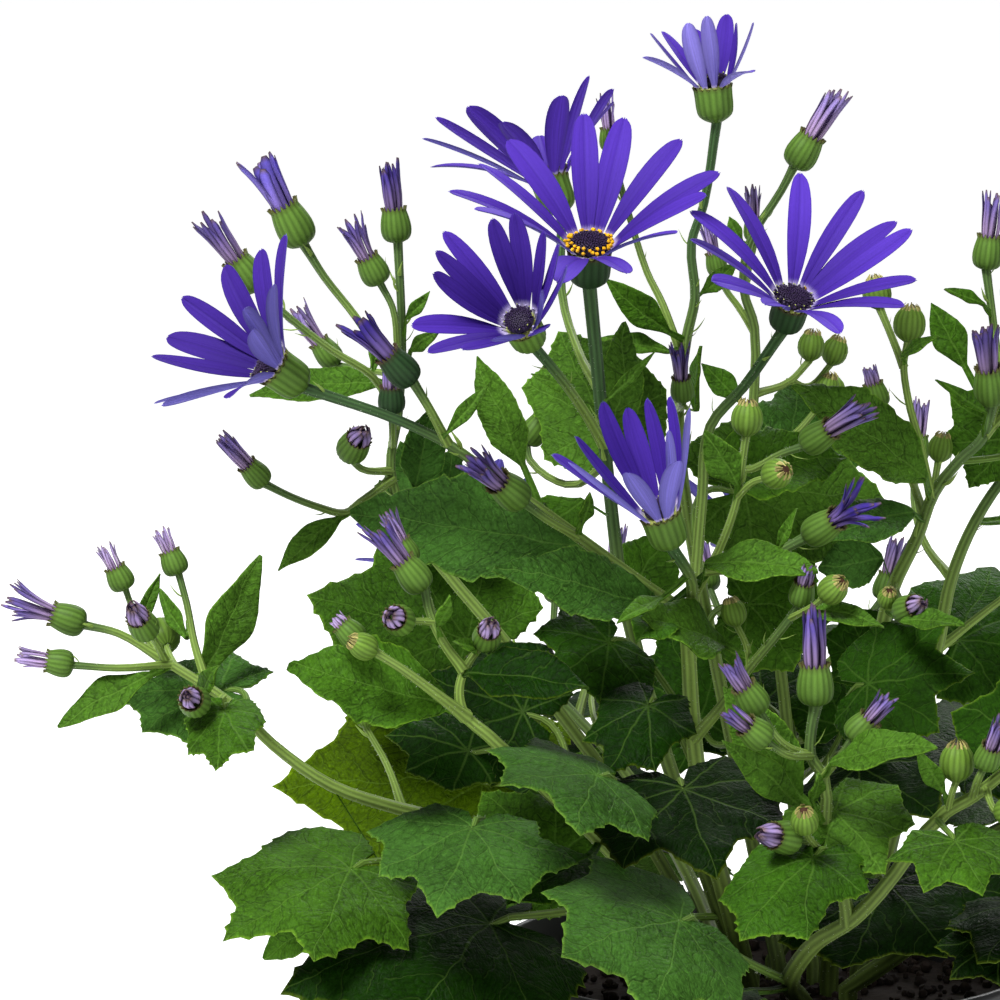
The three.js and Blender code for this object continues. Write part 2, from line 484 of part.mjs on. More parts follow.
// Petals of each bloom as [degrees round the head, degrees from the head's aim, length]
const PETALS = {
  "bloom_1": [[9, 56, 32.5], [40, 51, 32], [70, 49, 33], [94, 49, 33], [127, 58, 32], [158, 53, 30],
    [184, 58, 33.5], [209, 52, 33.5], [255, 70, 32.5], [282, 69, 32.5], [311, 57, 32.5], [339, 51, 32.5]],
  "bloom_2": [[5, 47, 25.5], [33, 53, 28], [74, 61, 28.5], [85, 54, 29], [113, 54, 28.5], [158, 56, 30.5],
    [183, 47, 31], [209, 45, 30.5], [239, 45, 29.5], [261, 68, 28.5], [292, 61, 28], [322, 45, 27]],
  "bloom_3": [[2, 53, 28.5], [39, 55, 26.5], [68, 47, 28], [92, 41, 29], [115, 48, 28.5], [149, 35, 27.5],
    [185, 44, 27], [212, 48, 29], [252, 63, 28], [286, 57, 29], [295, 43, 28.5], [317, 51, 27]],
  "bloom_4": [[19, 25, 25], [49, 31, 25.5], [71, 26, 25], [107, 43, 25.5], [129, 28, 25.5],
    [158, 26, 25.5], [181, 43, 26.5], [207, 46, 27], [231, 39, 27], [256, 36, 27], [288, 42, 27],
    [306, 26, 27], [332, 34, 27], [358, 30, 26.5]],
  "bloom_5": [[20, 45, 31], [46, 55, 30], [70, 51, 31], [98, 49, 30.5], [135, 59, 29.5], [167, 59, 30],
    [194, 59, 30.5], [222, 64, 30.5], [253, 59, 30], [292, 61, 30.5], [327, 54, 31.5], [346, 49, 30]],
  "bloom_6": [[25, 19, 15.5], [63, 28, 18.5], [97, 47, 18.5], [130, 39, 18.5], [166, 35, 18],
    [205, 53, 17.5], [241, 23, 19], [276, 20, 20.5], [299, 72, 17.5], [345, 31, 17]],
  "bloom_7": [[21, 18, 26.5], [55, 15, 26], [92, 30, 25], [114, 16, 28.5], [154, 22, 25.5],
    [184, 31, 28.5], [216, 30, 28.5], [259, 37, 27.5], [289, 44, 28], [304, 21, 26], [345, 22, 26.5]],
  "bloom_8": evenPetals(12, 56, 30, 8),
  "bloom_9": evenPetals(12, 52, 31, 9),
  "bloom_10": evenPetals(12, 58, 31, 10),
  "bloom_11": evenPetals(12, 55, 32, 11),
  "bloom_12": evenPetals(12, 50, 30, 12),
};

// Heads whose tuft of rolled florets is a piece of its own; smaller tufts are one with their shoot
const OWN_TUFTS = new Set([
  "trailer_a", "trailer_b", "trailer_d", "trailer_e", "front_a", "main_b", "main_c", "main_g",
  "top_b", "mid", "right", "right_c", "near_a", "near_b", "upper", "upper_a", "upper_b", "upper_c",
]);

const MATERIALS = {
  green: new THREE.MeshStandardMaterial({ color: 0x42702c, roughness: 0.55, metalness: 0 }),
  violet: new THREE.MeshStandardMaterial({ color: 0x4a36b4, roughness: 0.6, metalness: 0 }),
  disc: new THREE.MeshStandardMaterial({ color: 0x3b2a4a, roughness: 0.8, metalness: 0 }),
  pot: new THREE.MeshStandardMaterial({ color: 0x1c1c1e, roughness: 0.5, metalness: 0 }),
  soil: new THREE.MeshStandardMaterial({ color: 0x2a1f18, roughness: 0.95, metalness: 0 }),
};

const UP = new THREE.Vector3(0, 0, 1);
const group = new THREE.Group();

function vec(p) {
  return new THREE.Vector3(p[0], p[1], p[2]);
}

// A point moved along one or more directions, given as direction, distance pairs
function offset(point, ...pairs) {
  const out = point.clone();
  for (let i = 0; i < pairs.length; i += 2) out.addScaledVector(pairs[i], pairs[i + 1]);
  return out;
}

function average(points) {
  return points.reduce((sum, p) => sum.addScaledVector(p, 1 / points.length), new THREE.Vector3());
}

function random(seed) {
  const x = Math.sin(seed * 12.9898 + RANDOM_SEED * 78.233) * 43758.5453;
  return x - Math.floor(x);
}

// Petals spaced evenly round a head, each a little off its place
function evenPetals(count, open, length, seed) {
  return Array.from({ length: count }, (_, i) => {
    const draw = (k) => random(seed * 31 + i * 7 + k) - 0.5;
    return [(360 * i) / count + 10 * draw(1), open + 16 * draw(2), length + 3 * draw(3)];
  });
}

function solidOf(points, faces) {
  const vertProperties = new Float32Array(points.length * 3);
  points.forEach((p, i) => vertProperties.set([p.x, p.y, p.z], i * 3));
  const triVerts = new Uint32Array(faces.flat());
  return new wasm.Manifold(new wasm.Mesh({ numProp: 3, vertProperties, triVerts }));
}

function solidOfGeometry(geometry) {
  geometry.deleteAttribute("normal");
  geometry.deleteAttribute("uv");
  const merged = mergeVertices(geometry, 1e-3);
  const vertProperties = new Float32Array(merged.attributes.position.array);
  const triVerts = new Uint32Array(merged.index.array);
  return new wasm.Manifold(new wasm.Mesh({ numProp: 3, vertProperties, triVerts }));
}

function addNode(name, solid, material) {
  const mesh = solid.getMesh();
  const geometry = new THREE.BufferGeometry();
  const position = new Float32Array(mesh.numVert * 3);
  for (let i = 0; i < mesh.numVert; i++) {
    const start = i * mesh.numProp;
    position.set(mesh.vertProperties.subarray(start, start + 3), i * 3);
  }
  geometry.setAttribute("position", new THREE.BufferAttribute(position, 3));
  geometry.setIndex(new THREE.BufferAttribute(mesh.triVerts, 1));
  geometry.computeVertexNormals();
  const node = new THREE.Mesh(geometry, MATERIALS[material]);
  node.name = name;
  group.add(node);
}

// A closed skin over rings of points that run counter-clockwise seen from the last ring.
// A ring of one point is a tip.
function loft(rings) {
  const last = rings[rings.length - 1];
  const start = rings.flat().length - last.length;
  const faces = loftFaces(rings);
  for (let j = 1; j + 1 < last.length; j++) faces.push([start, start + j, start + j + 1]);
  return solidOf(rings.flat(), faces);
}

// The faces of a loft without the cap on its last ring
function loftFaces(rings) {
  const faces = [];
  let start = 0;
  for (let i = 0; i + 1 < rings.length; i++) {
    const sides = rings[i].length;
    const next = start + sides;
    for (let j = 0; j < sides; j++) {
      const k = (j + 1) % sides;
      if (rings[i + 1].length === 1) {
        faces.push([start + j, start + k, next]);
      } else {
        faces.push([start + j, start + k, next + k], [start + j, next + k, next + j]);
      }
    }
    start = next;
  }
  for (let j = 1; j + 1 < rings[0].length; j++) faces.push([0, j + 1, j]);
  return faces;
}

// Right-handed axes across a direction, as near to the axes before it as they can be
function axesAcross(direction, before) {
  const u = offset(before, direction, -before.dot(direction)).normalize();
  return { u, v: new THREE.Vector3().crossVectors(direction, u) };
}

function anyAcross(direction) {
  const helper = Math.abs(direction.x) < 0.7 ? new THREE.Vector3(1, 0, 0) : new THREE.Vector3(0, 1, 0);
  return axesAcross(direction, helper).u;
}

function ringRound(centre, axes, radius, sides, turn = 0) {
  return Array.from({ length: sides }, (_, i) => {
    const angle = turn + (2 * Math.PI * i) / sides;
    return offset(centre, axes.u, radius * Math.cos(angle), axes.v, radius * Math.sin(angle));
  });
}

function prism(centre, direction, radius, height, sides) {
  const axes = axesAcross(direction, anyAcross(direction));
  return loft([
    ringRound(centre, axes, radius, sides),
    ringRound(offset(centre, direction, height), axes, radius, sides),
  ]);
}

// The point at a share of the way along a stem, on the straight stretches between its points
function pointOn(path, share) {
  const place = share * (path.length - 1);
  const i = Math.min(Math.floor(place), path.length - 2);
  return path[i].clone().lerp(path[i + 1], place - i);
}

// The axes of a flower head: its aim, a level direction across it, and the third one
function headAxes(aim) {
  const u = new THREE.Vector3().crossVectors(new THREE.Vector3(0, 1, 0), aim).normalize();
  return { u, v: new THREE.Vector3().crossVectors(aim, u) };
}

// A stem with its flower cup, if it carries one, as one skin; a small tuft is part of it too
function stemSolid(path, fromRadius, toRadius, isRoot, head, hasTuft) {
  const curve = new THREE.CatmullRomCurve3(path, false, "catmullrom", 0.5);
  const steps = path.length - 1;
  const end = path[steps];
  const rings = [];
  let across = anyAcross(curve.getTangent(0));
  if (isRoot) {
    const foot = offset(path[0], UP, SOIL_TOP - ROOT_DEPTH - path[0].z);
    across = anyAcross(UP);
    rings.push(ringRound(foot, axesAcross(UP, across), fromRadius, STEM_SIDES));
  }
  for (let i = 0; i <= steps; i++) {
    const t = i / steps;
    const axes = axesAcross(curve.getTangent(t), across);
    across = axes.u;
    rings.push(ringRound(path[i], axes, fromRadius + (toRadius - fromRadius) * t, STEM_SIDES));
  }
  if (head.length) {
    const [kind, size, aim] = head;
    const direction = vec(aim).normalize();
    const axes = axesAcross(direction, across);
    for (const [height, radius] of CUPS[kind]) {
      const centre = offset(end, direction, height * size);
      rings.push(ringRound(centre, axes, radius * size, STEM_SIDES));
    }
    if (hasTuft) {
      const mouth = mouthOf(end, head, direction);
      const length = TUFT_LENGTH * size;
      const [footRadius, topRadius] = SMALL_TUFT;
      rings.push(ringRound(mouth, axes, footRadius * size, STEM_SIDES));
      rings.push(ringRound(offset(mouth, direction, SPLIT_FROM * length), axes, topRadius * size, STEM_SIDES));
      return crowned(rings, direction, (1 - SPLIT_FROM) * length);
    }
  }
  return loft(rings);
}

// A loft whose last ring carries a pointed tip on each side, round a middle a little lower
function crowned(rings, direction, rise) {
  const points = rings.flat();
  const faces = loftFaces(rings);
  const last = rings[rings.length - 1];
  const start = points.length - last.length;
  const middle = average(last);
  const centre = points.push(offset(middle, direction, -0.1 * rise)) - 1;
  for (let j = 0; j < last.length; j++) {
    const k = (j + 1) % last.length;
    const between = last[j].clone().add(last[k]).multiplyScalar(0.5);
    const tip = points.push(offset(between, direction, rise * (0.9 + 0.4 * random(j + middle.x)))) - 1;
    faces.push([start + j, start + k, tip], [start + k, centre, tip], [centre, start + j, tip]);
  }
  return solidOf(points, faces);
}

// The long blade of a lance or oval leaf, three-sided with a keel, from the stem to the tip
function bladeSolid(kind, root, base, tip, face, width, bend) {
  const along = offset(tip, base, -1);
  const length = along.length();
  along.normalize();
  const up = offset(face, along, -face.dot(along)).normalize();
  const side = new THREE.Vector3().crossVectors(along, up);
  const cross = (centre, half, keel) => [
    offset(centre, side, half),
    offset(centre, up, -keel),
    offset(centre, side, -half),
  ];
  const rings = [cross(root, 0.7, BLADE_KEEL)];
  for (const [share, wide] of BLADE_OUTLINES[kind]) {
    const centre = offset(base, along, length * share, up, bend * length * share * (1 - share));
    const half = Math.max((width * wide) / 2, 0.7);
    rings.push(share === 1 ? [centre] : cross(centre, half, BLADE_KEEL));
  }
  return loft(rings);
}

// A palmate leaf: an arched plate round the end of its stalk. The edge of its notch runs on into the stalk.
function lobedLeaf(root, base, tip, face, width, bend) {
  const along = offset(tip, base, -1);
  const length = along.length();
  along.normalize();
  const up = offset(face, along, -face.dot(along)).normalize();
  const side = new THREE.Vector3().crossVectors(up, along);
  const spread = width / (LOBED_WIDTH * length);
  const half = LOBED_OUTLINE.map(([angle, reach]) => {
    const a = THREE.MathUtils.degToRad(angle);
    return [length * reach * Math.cos(a), length * reach * Math.sin(a) * spread, reach];
  });
  half.push([-NOTCH * length, NOTCH_HALF_WIDTH, NOTCH]);
  const mirrored = half.slice(1).reverse().map(([x, y, reach]) => [x, -y, reach]);
  const outline = [...half, ...mirrored];
  const rim = outline.map(([x, y, reach]) => {
    const arch = bend * (x - length * reach * reach);
    return offset(base, along, x, side, y, up, arch);
  });
  const middle = [base, ...rim];
  const upper = middle.map((p) => offset(p, up, BLADE_THICKNESS / 2));
  const lower = middle.map((p) => offset(p, up, -BLADE_THICKNESS / 2));
  const count = middle.length;
  const n = rim.length;
  const notch = half.length;
  const points = [...upper, ...lower];
  const faces = [];
  for (let j = 1; j <= n; j++) {
    const k = (j % n) + 1;
    faces.push([0, j, k], [count, count + k, count + j]);
    if (j !== notch) faces.push([j, count + j, count + k], [j, count + k, k]);
  }
  const edge = [notch, count + notch, count + notch + 1, notch + 1];
  return solidOf(...stalkOnto(points, faces, edge, root, base, tip, up, width));
}

// Adds a square stalk that leaves the four points of a plate's edge and ends inside the stem
function stalkOnto(points, faces, edge, root, base, tip, up, width) {
  const reach = root.distanceTo(base);
  const behind = STALK_REACH_BEHIND * tip.distanceTo(base);
  const notchEdge = average(edge.map((i) => points[i]));
  const along = offset(tip, base, -1).normalize();
  const drop = STALK_DROP * offset(root, base, -1).dot(up);
  const stalk = new THREE.QuadraticBezierCurve3(notchEdge, offset(notchEdge, along, -behind, up, drop), root);
  const steps = reach > LONG_STALK ? 3 : 2;
  const radius = STALK_RADIUS + STALK_RADIUS_PER_WIDTH * width;
  let across = up;
  let ring = edge;
  for (let i = 1; i <= steps; i++) {
    const t = i / steps;
    const axes = axesAcross(stalk.getTangent(t), across);
    across = axes.u;
    const next = ringRound(stalk.getPoint(t), axes, radius * (0.8 + 0.2 * t), 4, Math.PI / 4);
    const start = points.length;
    points.push(...next);
    for (let j = 0; j < 4; j++) {
      const k = (j + 1) % 4;
      faces.push([ring[j], ring[k], start + k], [ring[j], start + k, start + j]);
    }
    ring = [start, start + 1, start + 2, start + 3];
  }
  faces.push([ring[0], ring[1], ring[2]], [ring[0], ring[2], ring[3]]);
  return [points, faces];
}

// A tuft of rolled florets as one skin: ridges run up from a flat foot on the cup and end in points
function tuftSolid(end, head) {
  const size = head[1];
  const tallness = TUFT_LENGTH * size;
  const aim = vec(head[2]).normalize();
  const mouth = mouthOf(end, head, aim);
  const axes = headAxes(aim);
  const around = 2 * TUFT_STRAPS;
  const points = TUFT_LEVELS.flatMap(([share, outer, inner]) =>
    Array.from({ length: around }, (_, i) => {
      const angle = (2 * Math.PI * i) / around;
      const radius = (i % 2 ? inner : outer) * size;
      const height = Math.max(share * tallness, GAP);
      return offset(mouth, aim, height, axes.u, radius * Math.cos(angle), axes.v, radius * Math.sin(angle));
    }),
  );
  const faces = [];
  for (let j = 0; j < around; j++) {
    const k = (j + 1) % around;
    faces.push([j, k, around + k], [j, around + k, around + j]);
    if (j > 1) faces.push([0, j, j - 1]);
  }
  const centre = points.push(offset(mouth, aim, SPLIT_MIDDLE * tallness)) - 1;
  const reach = TUFT_TIP_RADIUS * size;
  for (let i = 0; i < TUFT_STRAPS; i++) {
    const ridge = around + 2 * i;
    const before = around + ((2 * i + around - 1) % around);
    const angle = (2 * Math.PI * i) / TUFT_STRAPS;
    const length = tallness * (1 + TUFT_LENGTH_SPREAD * (random(i + mouth.x + mouth.z) - 0.5));
    const top = offset(mouth, aim, length, axes.u, reach * Math.cos(angle), axes.v, reach * Math.sin(angle));
    const tip = points.push(top) - 1;
    faces.push([before, ridge, tip], [ridge, ridge + 1, tip]);
    faces.push([ridge + 1, centre, tip], [centre, before, tip]);
  }
  return solidOf(points, faces);
}

function joined(solids) {
  return wasm.Manifold.union(solids);
}

function mouthOf(end, head, aim) {
  const [kind, size] = head;
  const cup = CUPS[kind];
  return offset(end, aim, cup[cup.length - 1][0] * size);
}

// The petals of a bloom and their common hub as one thin plate. Each petal has two widest points and a tip, and
// keeps inside its own sector between its neighbours.
function bloomRays(end, head) {
  const [, size, aimed, name] = head;
  const aim = vec(aimed).normalize();
  const axes = headAxes(aim);
  const mouth = offset(mouthOf(end, head, aim), aim, GAP);
  const outward = (degrees) => {
    const a = THREE.MathUtils.degToRad(degrees);
    return offset(new THREE.Vector3(), axes.u, Math.cos(a), axes.v, Math.sin(a));
  };
  const rows = PETALS[name];
  const middle = [offset(mouth, aim, HUB_THICKNESS / 2)];
  const normals = [aim];
  rows.forEach(([azimuth, open, length], i) => {
    const before = i ? rows[i - 1][0] : rows[rows.length - 1][0] - 360;
    const after = i + 1 < rows.length ? rows[i + 1][0] : rows[0][0] + 360;
    const valley = outward((azimuth + before) / 2);
    middle.push(offset(middle[0], valley, PETAL_RING_RADIUS * size));
    normals.push(aim);
    const o = THREE.MathUtils.degToRad(open);
    const out = outward(azimuth);
    const along = offset(new THREE.Vector3(), aim, Math.cos(o), out, Math.sin(o));
    const up = offset(new THREE.Vector3(), aim, Math.sin(o), out, -Math.cos(o));
    const side = new THREE.Vector3().crossVectors(up, along);
    const base = offset(middle[0], out, PETAL_RING_RADIUS * size);
    const wide = offset(base, along, PETAL_WIDEST * length);
    const radius = PETAL_RING_RADIUS * size + PETAL_WIDEST * length * Math.sin(o);
    const half = (gap) => {
      const sector = radius * Math.tan(THREE.MathUtils.degToRad(SECTOR * gap));
      return Math.min(PETAL_HALF_WIDTH * size, sector);
    };
    const [left, right] = [half(azimuth - before), half(after - azimuth)];
    middle.push(offset(wide, side, -left), offset(base, along, length), offset(wide, side, right));
    normals.push(up, up, up);
  });
  const count = middle.length;
  const points = [
    ...middle.map((p, i) => offset(p, normals[i], HUB_THICKNESS / 2)),
    ...middle.map((p, i) => offset(p, normals[i], -HUB_THICKNESS / 2)),
  ];
  const faces = [];
  const plate = (a, b, c) => faces.push([a, b, c], [count + a, count + c, count + b]);
  rows.forEach((_, i) => {
    const valley = 1 + 4 * i;
    const nextValley = 1 + 4 * ((i + 1) % rows.length);
    plate(0, valley, nextValley);
    plate(valley, valley + 1, nextValley);
    plate(nextValley, valley + 1, valley + 3);
    plate(valley + 1, valley + 2, valley + 3);
    const rim = [valley, valley + 1, valley + 2, valley + 3, nextValley];
    for (let j = 0; j < 4; j++) {
      const [a, b] = [rim[j], rim[j + 1]];
      faces.push([a, count + a, count + b], [a, count + b, b]);
    }
  });
  return solidOf(points, faces);
}

// The domed disc of tube florets, as rings of bumps
function bloomDisc(end, head) {
  const [, size, aimed, name] = head;
  const aim = vec(aimed).normalize();
  const axes = headAxes(aim);
  const foot = offset(mouthOf(end, head, aim), aim, HUB_THICKNESS + 2 * GAP + DISC_RISE * size);
  const steepest = Math.min(...PETALS[name].map(([, open]) => open));
  const levels = DISCS[steepest < WIDE_OPENING ? "narrow" : "wide"];
  const rings = levels.map(([height, radius, bump]) =>
    Array.from({ length: DISC_SIDES }, (_, i) => {
      const angle = (2 * Math.PI * i) / DISC_SIDES;
      const centre = offset(foot, aim, (height + (i % 2) * bump) * size);
      return offset(centre, axes.u, radius * size * Math.cos(angle), axes.v, radius * size * Math.sin(angle));
    }),
  );
  return loft([...rings, [offset(foot, aim, DISC_TIP * size)]]);
}

// A solid of revolution round the Z axis from [radius, height] points
function turned(profile) {
  const points = profile.map(([radius, z]) => new THREE.Vector2(radius, z));
  return solidOfGeometry(new THREE.LatheGeometry(points, POT_SIDES).rotateX(Math.PI / 2));
}

function potSolid() {
  const neck = POT_HEIGHT - RIM_DEPTH;
  const slope = (POT_NECK_RADIUS - POT_BASE_RADIUS) / neck;
  const profile = [
    [0, 0],
    [POT_BASE_RADIUS - POT_EDGE_CUT, 0],
    [POT_BASE_RADIUS, POT_EDGE_CUT],
    [POT_NECK_RADIUS, neck],
    [RIM_RADIUS - POT_EDGE_CUT, neck + POT_EDGE_CUT],
    [RIM_RADIUS, POT_HEIGHT - POT_EDGE_CUT],
    [RIM_RADIUS - RIM_EDGE_CUT, POT_HEIGHT],
    [RIM_RADIUS - POT_WALL - RIM_LIP, POT_HEIGHT],
    [POT_NECK_RADIUS - POT_WALL, neck],
    [POT_BASE_RADIUS - POT_WALL + slope * POT_FLOOR, POT_FLOOR],
    [0, POT_FLOOR],
  ];
  const shell = turned(profile);
  const holes = Array.from({ length: DRAIN_HOLES }, (_, i) => {
    const angle = (2 * Math.PI * (i + 0.5)) / DRAIN_HOLES;
    const x = DRAIN_CIRCLE_RADIUS * Math.cos(angle);
    const y = DRAIN_CIRCLE_RADIUS * Math.sin(angle);
    return prism(vec([x, y, -1]), UP, DRAIN_HOLE_RADIUS, POT_FLOOR + 2, DRAIN_HOLE_SIDES);
  });
  return shell.subtract(joined(holes));
}

// The soil fills the pot, with a hole for the foot of every shoot
function soilSolid() {
  const slope = (POT_NECK_RADIUS - POT_BASE_RADIUS) / (POT_HEIGHT - RIM_DEPTH);
  const bottom = POT_FLOOR + GAP;
  const wall = POT_BASE_RADIUS - POT_WALL - SOIL_WALL_GAP;
  const [cutIn, cutDown] = SOIL_EDGE_CUT;
  const profile = [
    [0, bottom],
    [wall + slope * bottom, bottom],
    [wall + slope * (SOIL_TOP - cutDown), SOIL_TOP - cutDown],
    [wall + slope * SOIL_TOP - cutIn, SOIL_TOP],
    [0, SOIL_TOP],
  ];
  const body = turned(profile);
  const holes = Object.values(SHOOTS).map(({ stems }) => {
    const [x, y] = stems[0][5][0];
    const foot = SOIL_TOP - ROOT_DEPTH - GAP;
    const radius = HOLE_WIDENING * stems[0][3] + GAP;
    return prism(vec([x, y, foot]), UP, radius, ROOT_DEPTH + 4, STEM_SIDES);
  });
  return body.subtract(joined(holes));
}

// Every stem, cup, leaf and fused tuft of one shoot, and the heads that are pieces of their own
function growShoot(shootName, shoot) {
  const paths = {};
  const solids = [];
  for (const [name, parent, at, fromRadius, toRadius, path, head] of shoot.stems) {
    const points = path.map(vec);
    if (parent) points.unshift(pointOn(paths[parent], at));
    paths[name] = points;
    const hasTuft = head[0] === "tuft" && !OWN_TUFTS.has(name);
    solids.push(stemSolid(points, fromRadius, toRadius, !parent, head, hasTuft));
    const end = points[points.length - 1];
    if (head[0] === "bloom") {
      addNode(head[3] + "_petals", bloomRays(end, head), "violet");
      addNode(head[3] + "_disc", bloomDisc(end, head), "disc");
    } else if (OWN_TUFTS.has(name)) {
      addNode(name + "_tuft", tuftSolid(end, head), "violet");
    }
  }
  for (const [kind, stem, at, base, tip, face, width, bend] of shoot.leaves) {
    const root = pointOn(paths[stem], at);
    const build = kind === "lobed" ? lobedLeaf : (...rest) => bladeSolid(kind, ...rest);
    solids.push(build(root, vec(base), vec(tip), vec(face), width, bend));
  }
  addNode("shoot_" + shootName, joined(solids), "green");
}

addNode("pot", potSolid(), "pot");
addNode("soil", soilSolid(), "soil");
for (const [name, shoot] of Object.entries(SHOOTS)) growShoot(name, shoot);

export default group;
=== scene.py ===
"""A florist cineraria in a plain round nursery pot: leafy shoots with lobed leaves, buds, half-open tufts
of rolled ray florets and open violet blooms. Lengths are in millimetres until a mesh is made."""

import math

import bpy
import numpy as np
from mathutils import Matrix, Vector


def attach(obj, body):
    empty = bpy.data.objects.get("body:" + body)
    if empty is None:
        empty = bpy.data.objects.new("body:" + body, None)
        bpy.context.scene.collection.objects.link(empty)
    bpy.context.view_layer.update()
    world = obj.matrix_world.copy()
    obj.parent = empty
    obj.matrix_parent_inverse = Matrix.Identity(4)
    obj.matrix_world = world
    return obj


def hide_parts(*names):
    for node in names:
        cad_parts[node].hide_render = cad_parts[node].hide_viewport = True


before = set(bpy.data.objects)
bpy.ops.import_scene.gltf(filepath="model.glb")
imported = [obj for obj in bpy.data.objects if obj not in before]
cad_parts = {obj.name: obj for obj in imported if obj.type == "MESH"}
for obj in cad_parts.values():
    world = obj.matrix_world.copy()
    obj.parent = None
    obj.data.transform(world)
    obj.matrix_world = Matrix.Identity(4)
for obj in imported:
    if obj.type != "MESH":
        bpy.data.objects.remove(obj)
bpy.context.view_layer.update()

MM = 0.001

# Camera and light
CAMERA_TARGET = (-0.0675, 0.0, 0.235)
CAMERA_DISTANCE = 1.2
CAMERA_ELEVATION = 8
FOCAL_LENGTH = 172.8
SENSOR_WIDTH = 36
CLIP_END = 100
FLOOR_HALF_SIZE = 14
FLOOR_THICKNESS = 0.02
FLOOR_GREY = 0.6
# The floor's glow by distance from the middle in metres: painted light, dim near the plant and full further
# off, so the far floor looks white
FLOOR_GLOW = {"From Min": 0.12, "From Max": 0.42, "To Min": 0.15, "To Max": 0.86}
WORLD_STRENGTH = 0.23

# Lights as [place, point they face, size in metres, power in watts]
LIGHTS = {
    "key": [(-0.6, -0.8, 1.5), (0, 0, 0.2), 0.5, 34],
    "fill": [(1.2, -0.9, 0.7), (0, 0, 0.2), 1.0, 5],
    "back": [(0.4, 1.3, 1.3), (0, 0, 0.25), 0.8, 16],
}

# Pot and soil, with the measures of the solids; the lumps and crumbs are only here
POT_HEIGHT = 120
POT_BASE_RADIUS = 51
POT_NECK_RADIUS = 66
RIM_RADIUS = 70
RIM_DEPTH = 11
POT_WALL = 1.6
POT_FLOOR = 3
POT_SIDES = 96
POT_SLOPE = (POT_NECK_RADIUS - POT_BASE_RADIUS) / (POT_HEIGHT - RIM_DEPTH)
SOIL_TOP = 108
SOIL_BOTTOM = 3.4
SOIL_SIDES = 72
SOIL_RINGS = 16
SOIL_LUMP = 1.6
CRUMBS = 520
GAP = 0.3
ROOT_DEPTH = 11

# Stems, with the shares of the radii in the table that are kept at foot and end, and their swellings
STEM_SIDES = 14
STEM_RIDGES = 7
STEM_STEPS = 4
RIDGE_DEPTH = 0.06
FOOT_SHARE = 0.85
END_SHARE = 0.8
FORK_SWELL = 0.25
HEAD_SWELL = 0.32
HEAD_DARKNESS = {"bloom": 0.9, "tuft": 0.7, "bud": 0.2}
SHADE_HEIGHTS = [112, 200]  # between which a stem goes from the plant's shade into the light
HAIR_SPACING = 0.38
HAIR_LENGTH = 0.55
HAIR_RADIUS = 0.05
STALK_HAIR_SPACING = 0.8
STALK_HAIR_LENGTH = 0.6
BRACT_SPACING = 12
BRACT_LENGTH = 4.6
BRACT_WIDTH = 0.14
BRACT_FORM = np.array([0.8, 1.0, 1.2, 1.15, 0.9, 0.5, 0.12])

# Heads
CUP_BRACTS = 17
CUP_COLUMNS = 4 * CUP_BRACTS
CUP_RINGS = 12
PLAIN_CUP_RINGS = 9
GROOVE_DEPTH = 0.035
BUD_POINTS = 14
TUFT_LENGTH = 11
TUFT_STRAPS = 14
STRAP_RADIUS = 0.56
STRAP_RINGS = 9
STRAP_FORM = [[0, 0.4, 0.7, 0.92, 1], [0.8, 1, 1.06, 0.95, 0.45]]
WIDE_STRAP = 1.5  # times the usual width, above which straps are half unrolled
NODDING = -0.6  # a head whose aim is further forwards than this nods
PETAL_RING_RADIUS = 4.2
PETAL_HALF_WIDTH = 3.0
PETAL_WIDEST = 0.66
SECTOR = 0.49  # share of the angle to the next petal that a petal may fill
PETAL_FOLD = 0.36
HUB_THICKNESS = 0.9
HUB_RADIUS = 4.5
HUB_SIDES = 48
DISC_SIDES = 36
DISC_RADIUS = 4.3
STEEP_DISC_RADIUS = 3.5
STEEP_OPENING = 30  # degrees off its aim that the least open petal of a steep bloom has at most
FLORETS = 170
PLAIN_FLORETS = 90
GOLDEN_ANGLE = math.radians(137.508)

# Leaves
BLADE_THICKNESS = 0.7
RIM_THICKNESS = 0.16
BLADE_ROWS = {"oval": 38, "lance": 21}
BLADE_TEETH = {"oval": 0.05, "lance": 0.02}
LOBED_ROWS = 9
WIDE_LOBED_ROWS = 14
PLAIN_LOBED_ROWS = 7
WIDE_LOBED = 34  # millimetres across, above which a lobed blade has more rows
WAVY_BLADE = 17  # millimetres across, above which a long blade has waves in its edge
STALK_RINGS = 6
# A leaf's rim is brighter and yellower: partly its own pale margin, partly painted light shining through
# the thin edge
RIM_BRIGHTNESS = 1.5

# The scales of the leaf material's noises, in cells a metre, and the millimetres between its side veins
LEAF_NOISE = {
    "drift": 90.0, "wander": 200.0, "cells": 400.0, "blotch": 60.0, "fine": 1700.0, "speck": 900.0,
}
SIDE_VEIN_SPACING = 7.5

RANDOM_SEED = 7

# Shoots behind the plant, and blooms past the photograph's edge or behind, have fewer faces
PLAIN_SHOOTS = {"back_left", "back_right", "back_mid", "far_back", "right_back"}
FIRST_PLAIN_BLOOM = 8

# Heads whose tuft is a solid of its own, and stems with a dark cup
OWN_TUFTS = {
    "trailer_a", "trailer_b", "trailer_d", "trailer_e", "front_a", "main_b", "main_c", "main_g", "top_b",
    "mid", "right", "right_c", "near_a", "near_b", "upper", "upper_a", "upper_b", "upper_c",
}
DARK_CUPS = {"centre", "main_h", "main_b", "upper_g"}

